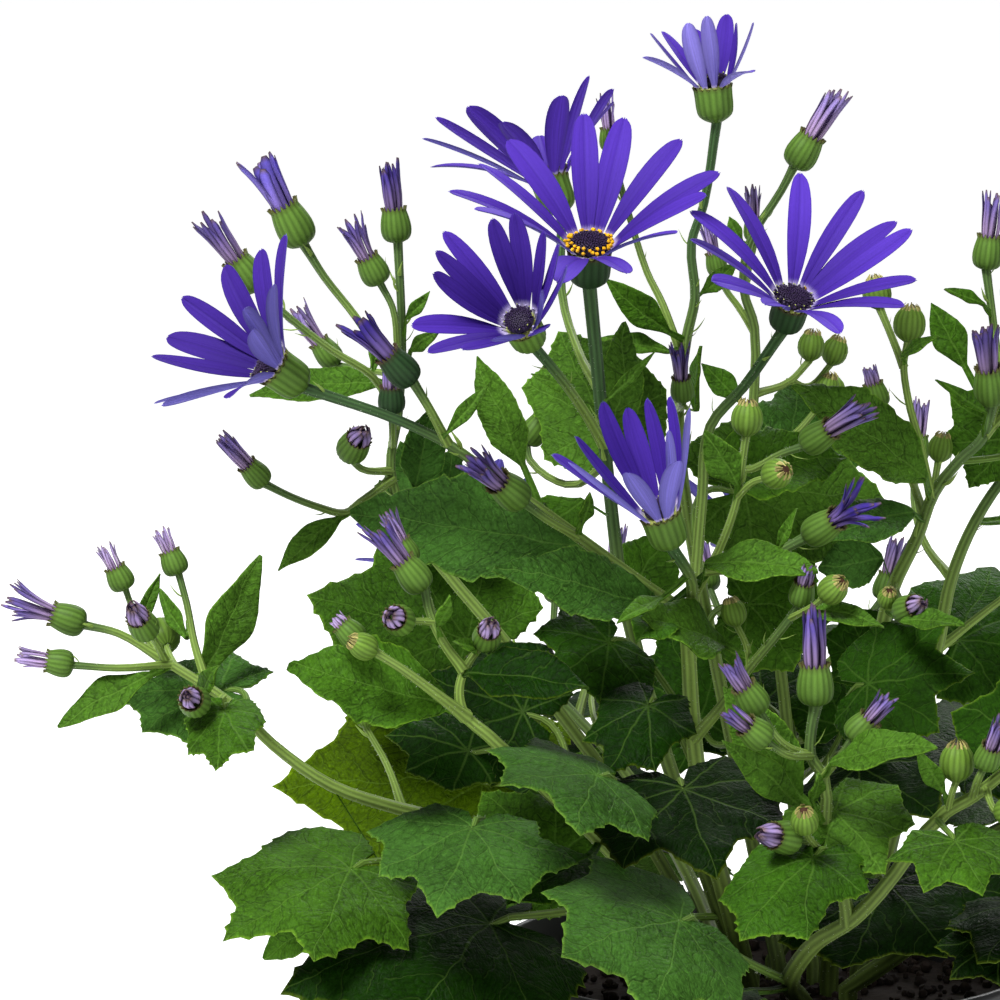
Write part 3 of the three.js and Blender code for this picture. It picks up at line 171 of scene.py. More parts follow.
# The stems of each shoot as [name, parent, place on the parent from 0 to 1, radius at its foot, radius at
# its end, points, head]. A head is [kind, size, aim], and for a bloom its name too.
STEMS = {
    "left_trailer": [
        ["trailer", "", 0, 2.4, 1.4, [[-18, -8, 112], [-33, -34, 133], [-72, -52, 162], [-92, -56, 168],
         [-108, -58, 174], [-122, -58, 184], [-131, -57, 193], [-149, -52, 204]], []],
        ["trailer_a", "trailer", 1, 1.2, 1.0, [[-159, -52, 210], [-167, -52, 212]],
         ["tuft", 1.04, [-0.94, 0.0, 0.33]]],
        ["trailer_b", "trailer", 0.98, 1.2, 0.9, [[-159, -60, 203], [-169, -62, 204]],
         ["tuft", 0.81, [-0.99, 0.0, 0.16]]],
        ["trailer_c", "trailer", 0.99, 1.1, 0.8, [[-150, -60, 210], [-151, -64, 212]],
         ["tuft", 1.0, [-0.25, -0.74, 0.62]]],
        ["trailer_d", "trailer", 1, 1.1, 0.8, [[-154, -45, 210], [-157, -42, 216], [-158, -42, 219]],
         ["tuft", 0.76, [-0.43, 0.0, 0.9]]],
        ["trailer_e", "trailer", 0.91, 1.3, 0.9, [[-141, -50, 207], [-143, -46, 216], [-145, -44, 223]],
         ["tuft", 0.75, [-0.38, 0.15, 0.91]]],
        ["trailer_f", "trailer", 0.88, 1.2, 0.8, [[-137, -66, 194], [-139, -70, 196]],
         ["tuft", 0.85, [-0.19, -0.91, 0.37]]],
        ["trailer_g", "trailer", 0.97, 0.9, 0.7, [[-148, -44, 205], [-148, -42, 205]],
         ["bud", 1.15, [-0.33, 0.85, 0.4]]],
        ["trailer_h", "trailer", 0.42, 1.2, 0.8, [[-95, -46, 177], [-100, -42, 185]],
         ["bud", 0.65, [-0.08, 0.0, 1.0]]],
    ],
    "left_front": [
        ["front", "", 0, 2.4, 1.2, [[-9, -16, 112], [-34, -60, 151], [-70, -84, 191], [-76, -86, 197],
         [-77, -86, 202], [-76, -86, 207]], []],
        ["front_a", "front", 1, 1.4, 1.1, [[-81, -86, 214], [-84, -86, 221], [-85, -86, 226]],
         ["tuft", 1.06, [-0.61, 0.0, 0.79]]],
        ["front_b", "front_a", 0.5, 1.0, 0.9, [[-85, -74, 224], [-88, -70, 230]],
         ["tuft", 0.75, [-0.46, 0.0, 0.89]]],
        ["front_c", "front_a", 0.55, 1.0, 0.8, [[-87, -88, 219], [-90, -90, 219]],
         ["tuft", 0.9, [-0.26, -0.92, 0.31]]],
        ["front_d", "front", 0.57, 1.7, 1.0, [[-83, -92, 203], [-90, -96, 209], [-96, -97, 213]],
         ["bud", 0.83, [-0.84, -0.26, 0.48]]],
        ["front_e", "front_d", 0.85, 0.9, 0.8, [[-97, -91, 213], [-100, -89, 214]],
         ["tuft", 0.75, [-0.71, 0.16, 0.69]]],
        ["front_f", "front", 1, 1.1, 0.9, [[-73, -84, 211], [-71, -84, 213]],
         ["tuft", 0.9, [0.13, -0.8, 0.58]]],
    ],
    "main": [
        ["main", "", 0, 3.2, 2.1, [[-5, -6, 112], [-9, -20, 130], [-15, -30, 152], [-19, -36, 171],
         [-21, -40, 189], [-22, -43, 204], [-23, -45, 214]], []],
        ["main_a", "main", 1, 1.9, 1.3, [[-34, -48, 222], [-58, -51, 240], [-68, -51, 247],
         [-79, -50, 255], [-91, -50, 261], [-114, -50, 269]], ["bloom", 1.03, [-0.78, -0.25, 0.58],
         "bloom_3"]],
        ["main_b", "main_a", 0.68, 1.3, 1.1, [[-84, -54, 264], [-88, -56, 271]],
         ["tuft", 1.19, [-0.66, -0.18, 0.73]]],
        ["main_c", "main_a", 0.27, 1.2, 1.1, [[-56, -56, 238], [-62, -60, 243]],
         ["tuft", 1.22, [-0.62, -0.53, 0.58]]],
        ["main_d", "main", 1, 1.4, 1.0, [[-18, -50, 224], [-14, -53, 233], [-11, -55, 243],
         [-10, -55, 250], [-9, -55, 258]], ["bud", 1.0, [0.06, 0.0, 1.0]]],
        ["main_e", "main_d", 0.62, 1.0, 0.8, [[-7, -60, 248], [-4, -62, 249]],
         ["bud", 0.95, [0.46, -0.82, 0.36]]],
        ["main_f", "main", 0.9, 1.8, 1.4, [[-22, -60, 224], [-27, -74, 234]],
         ["bloom", 1.0, [-0.32, -0.25, 0.91], "bloom_7"]],
        ["main_g", "main_d", 0.23, 1.5, 1.2, [[-9, -58, 227], [-2, -62, 231], [5, -64, 235]],
         ["tuft", 1.25, [0.69, -0.5, 0.53]]],
        ["main_h", "main", 0.81, 1.8, 1.4, [[-20, -30, 217], [-18, -22, 238], [-16, -20, 256],
         [-8, -22, 266], [1, -32, 281]], ["bloom", 0.93, [0.22, -0.49, 0.84], "bloom_5"]],
        ["main_i", "main_h", 0.53, 1.2, 1.0, [[-8, -26, 246], [1, -33, 251], [6, -35, 253]],
         ["tuft", 1.09, [0.73, -0.4, 0.55]]],
        ["main_j", "main", 0.6, 1.7, 1.1, [[-14, -54, 193], [-8, -64, 204], [-1, -70, 214],
         [3, -72, 220]], ["tuft", 0.77, [0.17, -0.28, 0.94]]],
        ["main_k", "main_j", 0.87, 0.9, 0.8, [[6, -78, 221], [8, -80, 223]],
         ["bud", 0.9, [0.55, -0.55, 0.63]]],
        ["main_l", "main_j", 0.5, 1.0, 0.8, [[-9, -62, 209], [-11, -60, 213]],
         ["bud", 0.8, [-0.25, 0.0, 0.97]]],
    ],
    "centre": [
        ["centre", "", 0, 2.8, 1.6, [[-4, 4, 112], [-13, -2, 133], [-37, -22, 213], [-40, -26, 234],
         [-46, -34, 292]], ["bloom", 1.1, [0.0, -0.41, 0.91], "bloom_1"]],
        ["centre_a", "centre", 0.83, 1.5, 1.3, [[-48, -46, 264], [-53, -56, 272], [-60, -63, 281]],
         ["bloom", 0.95, [-0.29, -0.73, 0.62], "bloom_4"]],
        ["centre_b", "centre", 0.89, 1.3, 1.2, [[-48, -6, 273], [-52, 14, 286], [-52, 21, 305]],
         ["bloom", 1.0, [-0.32, 0.28, 0.9], "bloom_2"]],
        ["centre_c", "centre", 0.81, 1.1, 1.0, [[-51, -8, 240], [-60, 0, 245], [-61, 2, 249]],
         ["tuft", 0.95, [0.57, 0.11, 0.82]]],
    ],
    "top": [
        ["top", "", 0, 2.4, 1.2, [[4, 12, 112], [0, 30, 131], [-14, 34, 199], [-20, 30, 231],
         [-22, 28, 254], [-20, 27, 273], [-18, 26, 283], [-19, 25, 297], [-16, 24, 307], [-13, 21, 328]],
         ["bloom", 1.0, [-0.12, -0.06, 0.99], "bloom_6"]],
        ["top_a", "top", 0.52, 1.2, 1.0, [[-26, 30, 281], [-30, 37, 289], [-35, 45, 305],
         [-39, 47, 319]], ["tuft", 0.75, [-0.1, 0.0, 1.0]]],
        ["top_b", "top", 0.45, 1.2, 1.0, [[-22, 6, 258], [-22, -2, 260]],
         ["tuft", 0.81, [-0.08, -0.27, 0.96]]],
    ],
    "back_mid": [
        ["mid", "", 0, 2.2, 1.1, [[13, 16, 112], [11, 48, 133], [7, 52, 175], [2, 50, 212],
         [-2, 46, 244], [-2, 42, 274], [-5, 38, 284], [-4, 34, 296], [4, 31, 310], [7, 30, 316]],
         ["tuft", 1.18, [0.5, -0.09, 0.86]]],
        ["mid_a", "mid", 0.55, 1.1, 0.9, [[-6, 46, 279], [-9, 46, 283], [-11, 46, 287]],
         ["tuft", 0.75, [-0.24, 0.0, 0.97]]],
        ["mid_b", "mid", 0.67, 1.0, 0.9, [[-3, 44, 291], [-2, 44, 296]],
         ["tuft", 0.75, [-0.06, 0.0, 1.0]]],
        ["mid_c", "mid", 0.49, 1.2, 0.9, [[8, 52, 259], [13, 54, 264]], ["bud", 0.92, [0.11, 0.0, 0.99]]],
        ["mid_d", "mid_c", 0.5, 0.9, 0.8, [[14, 60, 257], [19, 62, 262]],
         ["bud", 0.9, [0.31, 0.0, 0.95]]],
        ["mid_e", "mid", 0.42, 1.1, 0.9, [[11, 56, 246], [17, 58, 253]],
         ["bud", 0.83, [0.26, 0.0, 0.96]]],
    ],
    "right": [
        ["right", "", 0, 2.8, 1.3, [[16, 3, 112], [17, -2, 133], [25, -8, 188], [30, -10, 214],
         [36, -10, 227], [40, -10, 238], [46, -10, 246], [52, -10, 252], [54, -10, 260]],
         ["tuft", 1.25, [-0.12, -0.26, 0.96]]],
        ["right_a", "right", 0.61, 1.3, 1.0, [[36, -14, 251], [33, -14, 262], [32, -12, 271],
         [33, -12, 276]], ["bud", 1.05, [0.07, 0.0, 1.0]]],
        ["right_b", "right_a", 0.72, 1.1, 1.0, [[29, -4, 278], [27, 0, 283]],
         ["bud", 0.95, [-0.2, 0.16, 0.97]]],
        ["right_c", "right", 0.93, 1.4, 1.1, [[57, 0, 263], [56, 6, 277], [54, 8, 292]],
         ["tuft", 1.06, [0.1, 0.0, 0.99]]],
        ["right_d", "right", 0.88, 1.4, 1.0, [[60, -4, 261], [62, -6, 273], [61, -6, 283]],
         ["bud", 1.09, [-0.16, 0.0, 0.99]]],
        ["right_e", "right", 0.38, 1.2, 0.9, [[31, -30, 212], [30, -34, 212]],
         ["tuft", 0.9, [0.45, -0.81, 0.37]]],
        ["right_f", "right", 0.39, 0.9, 0.8, [[28, -28, 213], [27, -30, 213]],
         ["bud", 0.7, [0.07, -0.65, 0.76]]],
        ["right_g", "right", 0.5, 1.1, 0.9, [[41, 8, 234], [43, 12, 243]],
         ["bud", 0.85, [0.17, 0.0, 0.98]]],
        ["right_h", "right", 0.56, 1.2, 1.0, [[34, 6, 244], [29, 10, 254], [28, 10, 257]],
         ["tuft", 0.8, [-0.28, 0.0, 0.96]]],
    ],
    "right_back": [
        ["beyond", "", 0, 2.6, 1.3, [[24, 10, 112], [31, 24, 133], [45, 26, 195], [48, 26, 211],
         [54, 26, 226], [63, 28, 239], [76, 32, 251], [89, 33, 299]], ["bloom", 1.0, [0.25, -0.31, 0.92],
         "bloom_8"]],
        ["beyond_a", "beyond", 0.43, 1.3, 1.0, [[42, 40, 219], [40, 46, 229], [41, 50, 238]],
         ["tuft", 0.85, [0.08, 0.25, 0.96]]],
        ["beyond_b", "beyond", 0.71, 1.3, 1.0, [[71, 12, 243], [81, 6, 251]],
         ["tuft", 0.99, [0.48, -0.22, 0.85]]],
        ["beyond_c", "beyond", 0.86, 1.2, 1.0, [[75, 50, 262], [76, 56, 274]],
         ["tuft", 1, [-0.08, 0.22, 0.97]]],
        ["beyond_d", "beyond", 0.28, 1.3, 0.9, [[62, 36, 204], [78, 44, 213]],
         ["bud", 0.9, [0.76, 0.17, 0.63]]],
    ],
    "front_right": [
        ["near", "", 0, 2.9, 1.6, [[8, -22, 112], [3, -56, 127], [8, -68, 138], [16, -78, 146],
         [22, -84, 154], [36, -94, 175], [42, -96, 179], [50, -98, 186]], []],
        ["near_a", "near", 0.41, 2.0, 1.4, [[13, -82, 154], [9, -84, 162], [8, -88, 182], [5, -88, 187],
         [5, -88, 193], [6, -88, 199]], ["tuft", 1.2, [-0.03, 0.0, 1.0]]],
        ["near_b", "near_a", 0.67, 1.1, 0.9, [[-2, -92, 191], [-7, -92, 198]],
         ["tuft", 0.96, [-0.53, -0.11, 0.84]]],
        ["near_c", "near_a", 0.67, 1.1, 0.9, [[-2, -100, 190], [-6, -102, 193]],
         ["tuft", 0.86, [-0.73, -0.25, 0.63]]],
        ["near_d", "near_a", 0.51, 1.2, 0.9, [[11, -92, 187], [14, -94, 192]],
         ["tuft", 0.85, [0.63, -0.13, 0.77]]],
        ["near_e", "near_a", 0.34, 1.1, 0.8, [[4, -94, 168], [1, -96, 169]],
         ["tuft", 0.97, [-0.7, -0.67, 0.25]]],
        ["near_f", "near_a", 0.35, 1.0, 0.8, [[4, -100, 170], [3, -102, 172]],
         ["bud", 0.85, [-0.09, -0.55, 0.83]]],
        ["near_g", "near", 0.73, 1.1, 0.8, [[37, -98, 180], [38, -98, 183]],
         ["bud", 1.07, [0.03, 0.0, 1.0]]],
        ["near_h", "near", 0.86, 1.2, 0.9, [[43, -102, 185], [44, -102, 187]],
         ["tuft", 0.8, [0.26, -0.4, 0.88]]],
        ["near_i", "near", 1, 1.1, 0.9, [[56, -98, 192], [59, -98, 196]],
         ["tuft", 0.75, [0.47, 0.0, 0.88]]],
        ["near_j", "near", 0.91, 1.0, 0.8, [[46, -104, 178], [47, -106, 177]],
         ["bud", 0.85, [0.58, -0.73, 0.35]]],
    ],
    "left_back": [
        ["upper", "", 0, 2.3, 1.1, [[-15, 3, 112], [-24, 4, 137], [-65, 2, 197], [-81, 4, 216],
         [-91, 5, 229], [-95, 6, 242], [-93, 6, 256], [-92, 6, 272], [-93, 6, 299]],
         ["tuft", 1.06, [-0.11, 0.0, 0.99]]],
        ["upper_a", "upper", 0.82, 1.1, 0.9, [[-93, -4, 274], [-94, -8, 284], [-97, -8, 290]],
         ["tuft", 0.94, [-0.45, -0.11, 0.89]]],
        ["upper_b", "upper", 0.72, 1.2, 1.0, [[-99, -8, 267], [-109, -12, 274], [-119, -14, 282],
         [-127, -14, 289]], ["tuft", 1.19, [-0.57, -0.09, 0.82]]],
        ["upper_c", "upper", 0.78, 1.3, 1.1, [[-98, 16, 270], [-104, 20, 279], [-112, 22, 289],
         [-117, 22, 297]], ["tuft", 1.42, [-0.46, -0.08, 0.88]]],
        ["upper_d", "upper", 0.6, 1.3, 1.0, [[-102, -10, 236], [-106, -16, 234], [-112, -20, 236],
         [-119, -22, 239], [-125, -22, 242]], ["tuft", 0.88, [-0.64, -0.24, 0.73]]],
        ["upper_e", "upper", 0.62, 1.1, 0.9, [[-102, -8, 244], [-105, -14, 248]],
         ["tuft", 1.0, [0.36, -0.68, 0.64]]],
        ["upper_f", "upper", 0.83, 1.0, 0.9, [[-99, 20, 265], [-109, 26, 266]],
         ["tuft", 0.94, [-0.61, 0.0, 0.79]]],
        ["upper_g", "upper", 0.68, 1.1, 1.0, [[-94, -14, 254], [-94, -18, 259]],
         ["tuft", 0.85, [-0.03, -0.13, 0.99]]],
    ],
    "back_left": [
        ["hind_left", "", 0, 2.5, 1.4, [[-10, 14, 112], [-17, 60, 125], [-32, 84, 147], [-48, 104, 162],
         [-62, 118, 174], [-75, 136, 188]], ["bloom", 1.0, [-0.3, 0.6, 0.74], "bloom_9"]],
        ["hind_left_a", "hind_left", 0.72, 1.3, 1.0, [[-76, 110, 178], [-91, 104, 191]],
         ["tuft", 0.99, [-0.35, -0.11, 0.93]]],
        ["hind_left_b", "hind_left", 0.58, 1.3, 1.0, [[-40, 132, 177], [-36, 140, 190]],
         ["tuft", 0.99, [0.1, 0.33, 0.94]]],
        ["hind_left_c", "hind_left", 0.47, 1.3, 0.9, [[-42, 130, 160], [-39, 146, 166]],
         ["bud", 0.9, [0.15, 0.81, 0.56]]],
        ["hind_left_d", "hind_left", 0.72, 1.1, 1.0, [[-53, 140, 176], [-52, 152, 185]],
         ["tuft", 0.94, [0.04, 0.69, 0.72]]],
    ],
    "back_right": [
        ["hind_right", "", 0, 2.6, 1.4, [[3, 22, 112], [13, 44, 123], [15, 74, 130], [13, 96, 147],
         [11, 110, 167], [9, 120, 179], [6, 136, 193]], ["bloom", 1.05, [0.15, 0.62, 0.77], "bloom_10"]],
        ["hind_right_a", "hind_right", 0.64, 1.3, 1.0, [[30, 128, 178], [39, 134, 188]],
         ["tuft", 0.94, [0.26, 0.23, 0.94]]],
        ["hind_right_b", "hind_right", 0.61, 1.2, 1.0, [[21, 102, 188], [24, 106, 226], [23, 116, 244]],
         ["bud", 1.15, [-0.02, 0.48, 0.88]]],
        ["hind_right_c", "hind_right", 0.56, 1.3, 0.9, [[30, 126, 155], [45, 138, 162]],
         ["bud", 0.9, [0.67, 0.38, 0.64]]],
        ["hind_right_d", "hind_right", 0.74, 1.2, 1.0, [[-3, 140, 178], [-8, 152, 188]],
         ["tuft", 0.95, [-0.17, 0.57, 0.81]]],
    ],
    "far_right": [
        ["far", "", 0, 2.8, 1.5, [[20, -9, 112], [39, -22, 130], [58, -32, 153], [74, -38, 176],
         [85, -40, 199], [94, -40, 221], [98, -38, 240], [103, -45, 262]],
         ["bloom", 1.05, [0.45, -0.45, 0.77], "bloom_11"]],
        ["far_a", "far", 0.57, 1.4, 1.1, [[98, -50, 210], [109, -54, 226]],
         ["tuft", 0.99, [0.53, -0.22, 0.82]]],
        ["far_b", "far", 0.71, 1.3, 1.0, [[85, -56, 238], [81, -60, 251]],
         ["tuft", 0.94, [-0.32, -0.23, 0.92]]],
        ["far_c", "far", 0.43, 1.4, 1.0, [[92, -50, 184], [108, -54, 194], [115, -54, 199]],
         ["tuft", 0.81, [0.73, -0.13, 0.67]]],
        ["far_d", "far", 0.86, 1.2, 1.0, [[112, -20, 243], [120, -14, 252]],
         ["tuft", 0.79, [0.5, 0.27, 0.82]]],
        ["far_e", "far", 0.54, 1.1, 0.9, [[79, -58, 209], [77, -62, 217]],
         ["bud", 0.9, [-0.13, -0.2, 0.97]]],
    ],
    "far_back": [
        ["far_back", "", 0, 2.6, 1.4, [[16, 27, 112], [39, 42, 122], [55, 54, 134], [76, 64, 145],
         [94, 76, 170], [107, 84, 196], [115, 88, 220], [122, 101, 250]],
         ["bloom", 1.0, [0.51, 0.3, 0.81], "bloom_12"]],
        ["far_back_a", "far_back", 0.71, 1.3, 1.0, [[121, 74, 208], [131, 70, 225]],
         ["tuft", 1, [0.46, -0.11, 0.88]]],
        ["far_back_b", "far_back", 0.81, 1.2, 1.0, [[106, 104, 226], [102, 110, 239]],
         ["tuft", 0.92, [-0.23, 0.24, 0.94]]],
        ["far_back_c", "far_back", 0.57, 1.3, 0.9, [[116, 90, 173], [133, 96, 180]],
         ["bud", 0.9, [0.76, 0.16, 0.63]]],
        ["far_back_d", "far_back", 0.66, 1.2, 1.0, [[102, 108, 195], [101, 122, 205]],
         ["tuft", 0.89, [-0.12, 0.49, 0.86]]],
    ],
}

# The leaves of each shoot as [kind, stem, place on the stem, start of the blade, tip, the way its upper
# side looks, width, arch]
LEAVES = {
    "left_trailer": [
        ["lance", "trailer", 0.93, [-139, -50, 200], [-125, -46, 228], [0.6, -1, 0.4], 12, 0.12],
        ["lance", "trailer", 0.98, [-151, -58, 201], [-173, -62, 189], [0.2, -1, 0.9], 9.5, 0.2],
        ["lance", "trailer", 0.91, [-139, -66, 197], [-134, -74, 206], [-0.6, -1, 0.3], 5.5, 0.1],
        ["lobed", "trailer", 0.82, [-135, -46, 195], [-160, -36, 191], [0.1, -0.75, 1], 31, 0.15],
        ["lobed", "trailer", 0.82, [-133, -68, 194], [-134, -86, 183], [-0.1, -1, 0.7], 19, 0.2],
        ["lance", "trailer_d", 0.35, [-156, -40, 209], [-150, -36, 222], [0.6, -1, 0.3], 4, 0.1],
        ["lance", "trailer_e", 0.55, [-143, -48, 208], [-150, -40, 219], [-0.6, -1, 0.4], 4.5, 0.1],
        ["lobed", "trailer", 0.22, [-103, -74, 157], [-132, -98, 145], [-0.15, -1, 1], 42, 0.22],
        ["lobed", "trailer", 0.18, [-70, -66, 142], [-119, -90, 131], [-0.1, -1, 1.2], 62, 0.3],
        ["lobed", "trailer", 0.28, [-74, -84, 169], [-82, -108, 153], [-0.1, -0.9, 1], 46, 0.25],
        ["oval", "trailer", 0.57, [-94, -50, 149], [-125, -48, 129], [0, -1, 1], 17, 0.2],
    ],
    "left_front": [
        ["oval", "front", 0.57, [-80, -83, 198], [-117, -86, 208], [-0.1, -1, 0.8], 22, 0.15],
        ["oval", "front", 0.97, [-75, -90, 207], [-47, -98, 205], [0.1, -1, 1], 15, 0.2],
        ["lobed", "front", 0.33, [-45, -96, 184], [-68, -118, 185], [-0.3, -1, 1.1], 40, 0.2],
        ["lobed", "front", 0.38, [-75, -66, 184], [-95, -62, 187], [0.1, -1, 0.9], 22, 0.2],
        ["lobed", "front", 0.3, [-62, -48, 190], [-87, -42, 198], [0, -1, 0.8], 40, 0.1],
        ["oval", "front", 0.26, [-46, -78, 161], [-66, -92, 152], [-0.1, -0.8, 1.2], 18, 0.2],
        ["lance", "front_f", 0.5, [-73, -86, 212], [-78, -92, 215], [-0.1, -1, 0.6], 3.5, 0.1],
        ["lance", "front_a", 0.35, [-82, -90, 218], [-79, -96, 226], [0.4, -1, 0.4], 4, 0.1],
    ],
    "main": [
        ["oval", "main_a", 0.12, [-30, -54, 217], [-69, -66, 228], [-0.1, -1, 0.8], 18, 0.12],
        ["oval", "main_a", 0.23, [-49, -38, 229], [-104, -30, 236], [0, -1, 0.6], 27, 0.1],
        ["oval", "main_a", 0.33, [-62, -46, 250], [-73, -44, 276], [-0.3, -1, 0.2], 10.5, 0.1],
        ["lance", "main_a", 0.27, [-48, -56, 237], [-46, -60, 245], [0.5, -1, 0.2], 4, 0.1],
        ["lance", "main_a", 0.71, [-80, -56, 259], [-70, -58, 271], [0.2, -1, 0.5], 4, 0.3],
        ["oval", "main_d", 0.2, [-29, -62, 217], [-35, -74, 212], [0.2, -1, 1], 13, 0.2],
        ["oval", "main_d", 0.14, [-19, -66, 229], [7, -76, 229], [0.1, -1, 1], 12, 0.2],
        ["lance", "main_d", 0.59, [-11, -58, 247], [-19, -60, 260], [-0.4, -1, 0.4], 9, 0.1],
        ["oval", "main_h", 0.35, [-18, -14, 243], [19, -2, 246], [0.1, -1, 0.9], 21, 0.15],
        ["lobed", "main_h", 0.3, [-6, 8, 236], [31, 24, 232], [0.1, -1, 0.6], 40, 0.12],
        ["lance", "main_j", 0.97, [4, -74, 220], [22, -84, 217], [0.1, -1, 1], 7, 0.15],
        ["oval", "main_j", 0.55, [-14, -58, 208], [-34, -70, 217], [0, -1, 1], 16, 0.2],
        ["lance", "main_f", 0.6, [-29, -66, 221], [-40, -78, 217], [-0.1, -1, 0.9], 5, 0.2],
        ["lance", "main_g", 0.5, [-2, -66, 232], [2, -72, 243], [-0.4, -1, 0.2], 3, 0.1],
        ["lobed", "main", 0.35, [-24, -72, 176], [-17, -93, 159], [0.1, -1, 0.75], 53, 0.2],
        ["lobed", "main", 0.62, [-41, -36, 205], [-56, -44, 197], [0, -1, 0.9], 34, 0.2],
        ["lobed", "main", 0.5, [-32, -56, 193], [-43, -72, 178], [-0.2, -1, 0.6], 24, 0.25],
    ],
    "centre": [
        ["lobed", "centre", 0.83, [-41, -12, 255], [-53, 4, 277], [-0.1, -1, 0.3], 33, 0.1],
        ["oval", "centre", 0.82, [-40, -24, 253], [-37, -12, 281], [0.4, -1, 0.2], 12, 0.1],
        ["lance", "centre", 0.87, [-42, -34, 264], [-30, -34, 276], [0.3, -1, 0.3], 3, 0.2],
        ["lance", "centre_a", 0.4, [-49, -44, 267], [-60, -46, 272], [-0.2, -1, 0.4], 3.5, 0.2],
        ["oval", "centre", 0.75, [-47, -22, 238], [-63, -20, 223], [0, -1, 0.8], 14, 0.2],
        ["lobed", "centre", 0.2, [-53, -30, 150], [-72, -16, 164], [-0.2, -1, 0.8], 40, 0.2],
        ["oval", "centre", 0.52, [-35, -10, 213], [-26, -2, 226], [0.2, -1, 0.5], 17, 0.1],
    ],
    "top": [
        ["lance", "top", 0.55, [-25, 22, 275], [-41, 16, 289], [-0.5, -1, 0.4], 8.5, 0.15],
        ["oval", "top", 0.67, [-16, 30, 284], [-7, 36, 291], [0.4, -1, 0.3], 5, 0.1],
        ["lance", "top", 0.54, [-25, 22, 270], [-42, 24, 273], [-0.2, -1, 0.9], 6, 0.2],
        ["lance", "top", 0.45, [-18, 20, 255], [-17, 16, 272], [-1, -0.3, 0.2], 7, 0.1],
        ["lobed", "top", 0.22, [-4, 22, 205], [18, 16, 202], [0.1, -1, 0.45], 34, 0.15],
        ["lobed", "top", 0.17, [-15, 50, 170], [-24, 64, 196], [-0.1, -1, 0.4], 36, 0.1],
    ],
    "back_mid": [
        ["lobed", "mid", 0.41, [9, 60, 240], [25, 76, 251], [0.2, -1, 0.6], 34, 0.1],
        ["lance", "mid", 0.46, [-5, 50, 254], [-15, 56, 263], [-0.3, -1, 0.5], 7, 0.1],
        ["lance", "mid", 0.77, [-6, 34, 297], [-9, 36, 303], [-0.6, -1, 0.2], 4, 0.1],
        ["lobed", "mid", 0.15, [23, 58, 166], [31, 72, 181], [0.3, -0.8, 0.8], 32, 0.2],
        ["lobed", "mid", 0.2, [2, 66, 172], [-16, 90, 184], [-0.3, -0.5, 1], 42, 0.2],
    ],
    "right": [
        ["oval", "right", 0.61, [37, -20, 243], [4, -26, 267], [-0.1, -1, 0.9], 20, 0.12],
        ["oval", "right", 0.55, [34, -22, 235], [9, -34, 230], [0.1, -1, 1], 13, 0.15],
        ["lance", "right", 0.97, [48, -2, 269], [40, 4, 284], [-0.3, -1, 0.5], 9, 0.1],
        ["lance", "right", 0.88, [52, -18, 259], [39, -24, 268], [-0.2, -1, 0.5], 3.5, 0.15],
        ["lance", "right_c", 0.75, [53, 2, 284], [43, 0, 288], [-0.1, -1, 0.7], 3.5, 0.2],
        ["lobed", "right", 0.75, [61, 10, 249], [46, 16, 260], [-0.2, -1, 0.4], 30, 0.1],
        ["lance", "right_a", 0.75, [31, -18, 273], [39, -26, 279], [0.1, -1, 0.7], 3.5, 0.2],
        ["lance", "right", 0.35, [30, -40, 211], [44, -50, 212], [0, -1, 1], 6.5, 0.15],
        ["lobed", "right", 0.22, [23, -26, 193], [48, -36, 198], [0.1, -1, 0.8], 36, 0.15],
        ["lobed", "right", 0.19, [20, -40, 175], [37, -60, 167], [0.1, -1, 0.8], 42, 0.2],
        ["oval", "right", 0.38, [28, -4, 221], [12, -3, 218], [0, -1, 0.5], 14, 0.1],
        ["lobed", "right", 0.12, [27, -46, 147], [40, -62, 133], [0.2, -1, 0.9], 62, 0.15],
    ],
    "right_back": [
        ["lobed", "beyond", 0.27, [52, 44, 192], [81, 66, 199], [0.2, -0.8, 0.8], 42, 0.2],
        ["lobed", "beyond", 0.24, [29, 38, 187], [22, 44, 202], [-0.1, -1, 0.4], 22, 0.1],
        ["oval", "beyond", 0.57, [62, 40, 224], [90, 56, 227], [0.1, -1, 0.8], 18, 0.2],
        ["lance", "beyond", 0.91, [87, 44, 263], [101, 52, 272], [0.3, -1, 0.4], 7, 0.1],
        ["lobed", "beyond", 0.2, [55, 66, 159], [77, 100, 163], [0.3, -0.3, 1], 44, 0.2],
    ],
    "front_right": [
        ["oval", "near_a", 0.51, [9, -96, 187], [32, -112, 194], [0, -1, 1], 11, 0.25],
        ["oval", "near_a", 0.42, [3, -80, 176], [-15, -80, 202], [-0.2, -1, 0.6], 14, 0.1],
        ["lance", "near_a", 0.42, [2, -90, 176], [-16, -100, 193], [-0.4, -1, 0.6], 8.5, 0.1],
        ["lance", "near_a", 0.4, [5, -96, 178], [6, -104, 186], [0.4, -1, 0.2], 4.5, 0.1],
        ["lobed", "near_a", 0.32, [5, -98, 165], [-13, -120, 150], [-0.25, -1, 1], 28, 0.2],
        ["lobed", "near_a", 0.32, [11, -84, 173], [22, -96, 160], [0.1, -1, 0.8], 34, 0.2],
        ["lobed", "near", 0.7, [37, -108, 171], [42, -122, 161], [0.2, -1, 0.9], 30, 0.2],
        ["lobed", "near", 0.12, [-26, -102, 151], [-54, -128, 148], [-0.1, -1, 0.9], 51, 0.22],
        ["oval", "near", 0.1, [-8, -80, 129], [-21, -104, 128], [-0.2, -0.8, 1], 16, 0.2],
        ["lance", "near", 0.74, [35, -100, 181], [28, -106, 192], [-0.4, -1, 0.5], 5, 0.1],
    ],
    "left_back": [
        ["lance", "upper_d", 0.3, [-107, -18, 233], [-122, -24, 221], [0, -1, 0.9], 8, 0.2],
        ["oval", "upper", 0.77, [-97, 14, 263], [-131, 20, 259], [0, -1, 0.7], 9.5, 0.2],
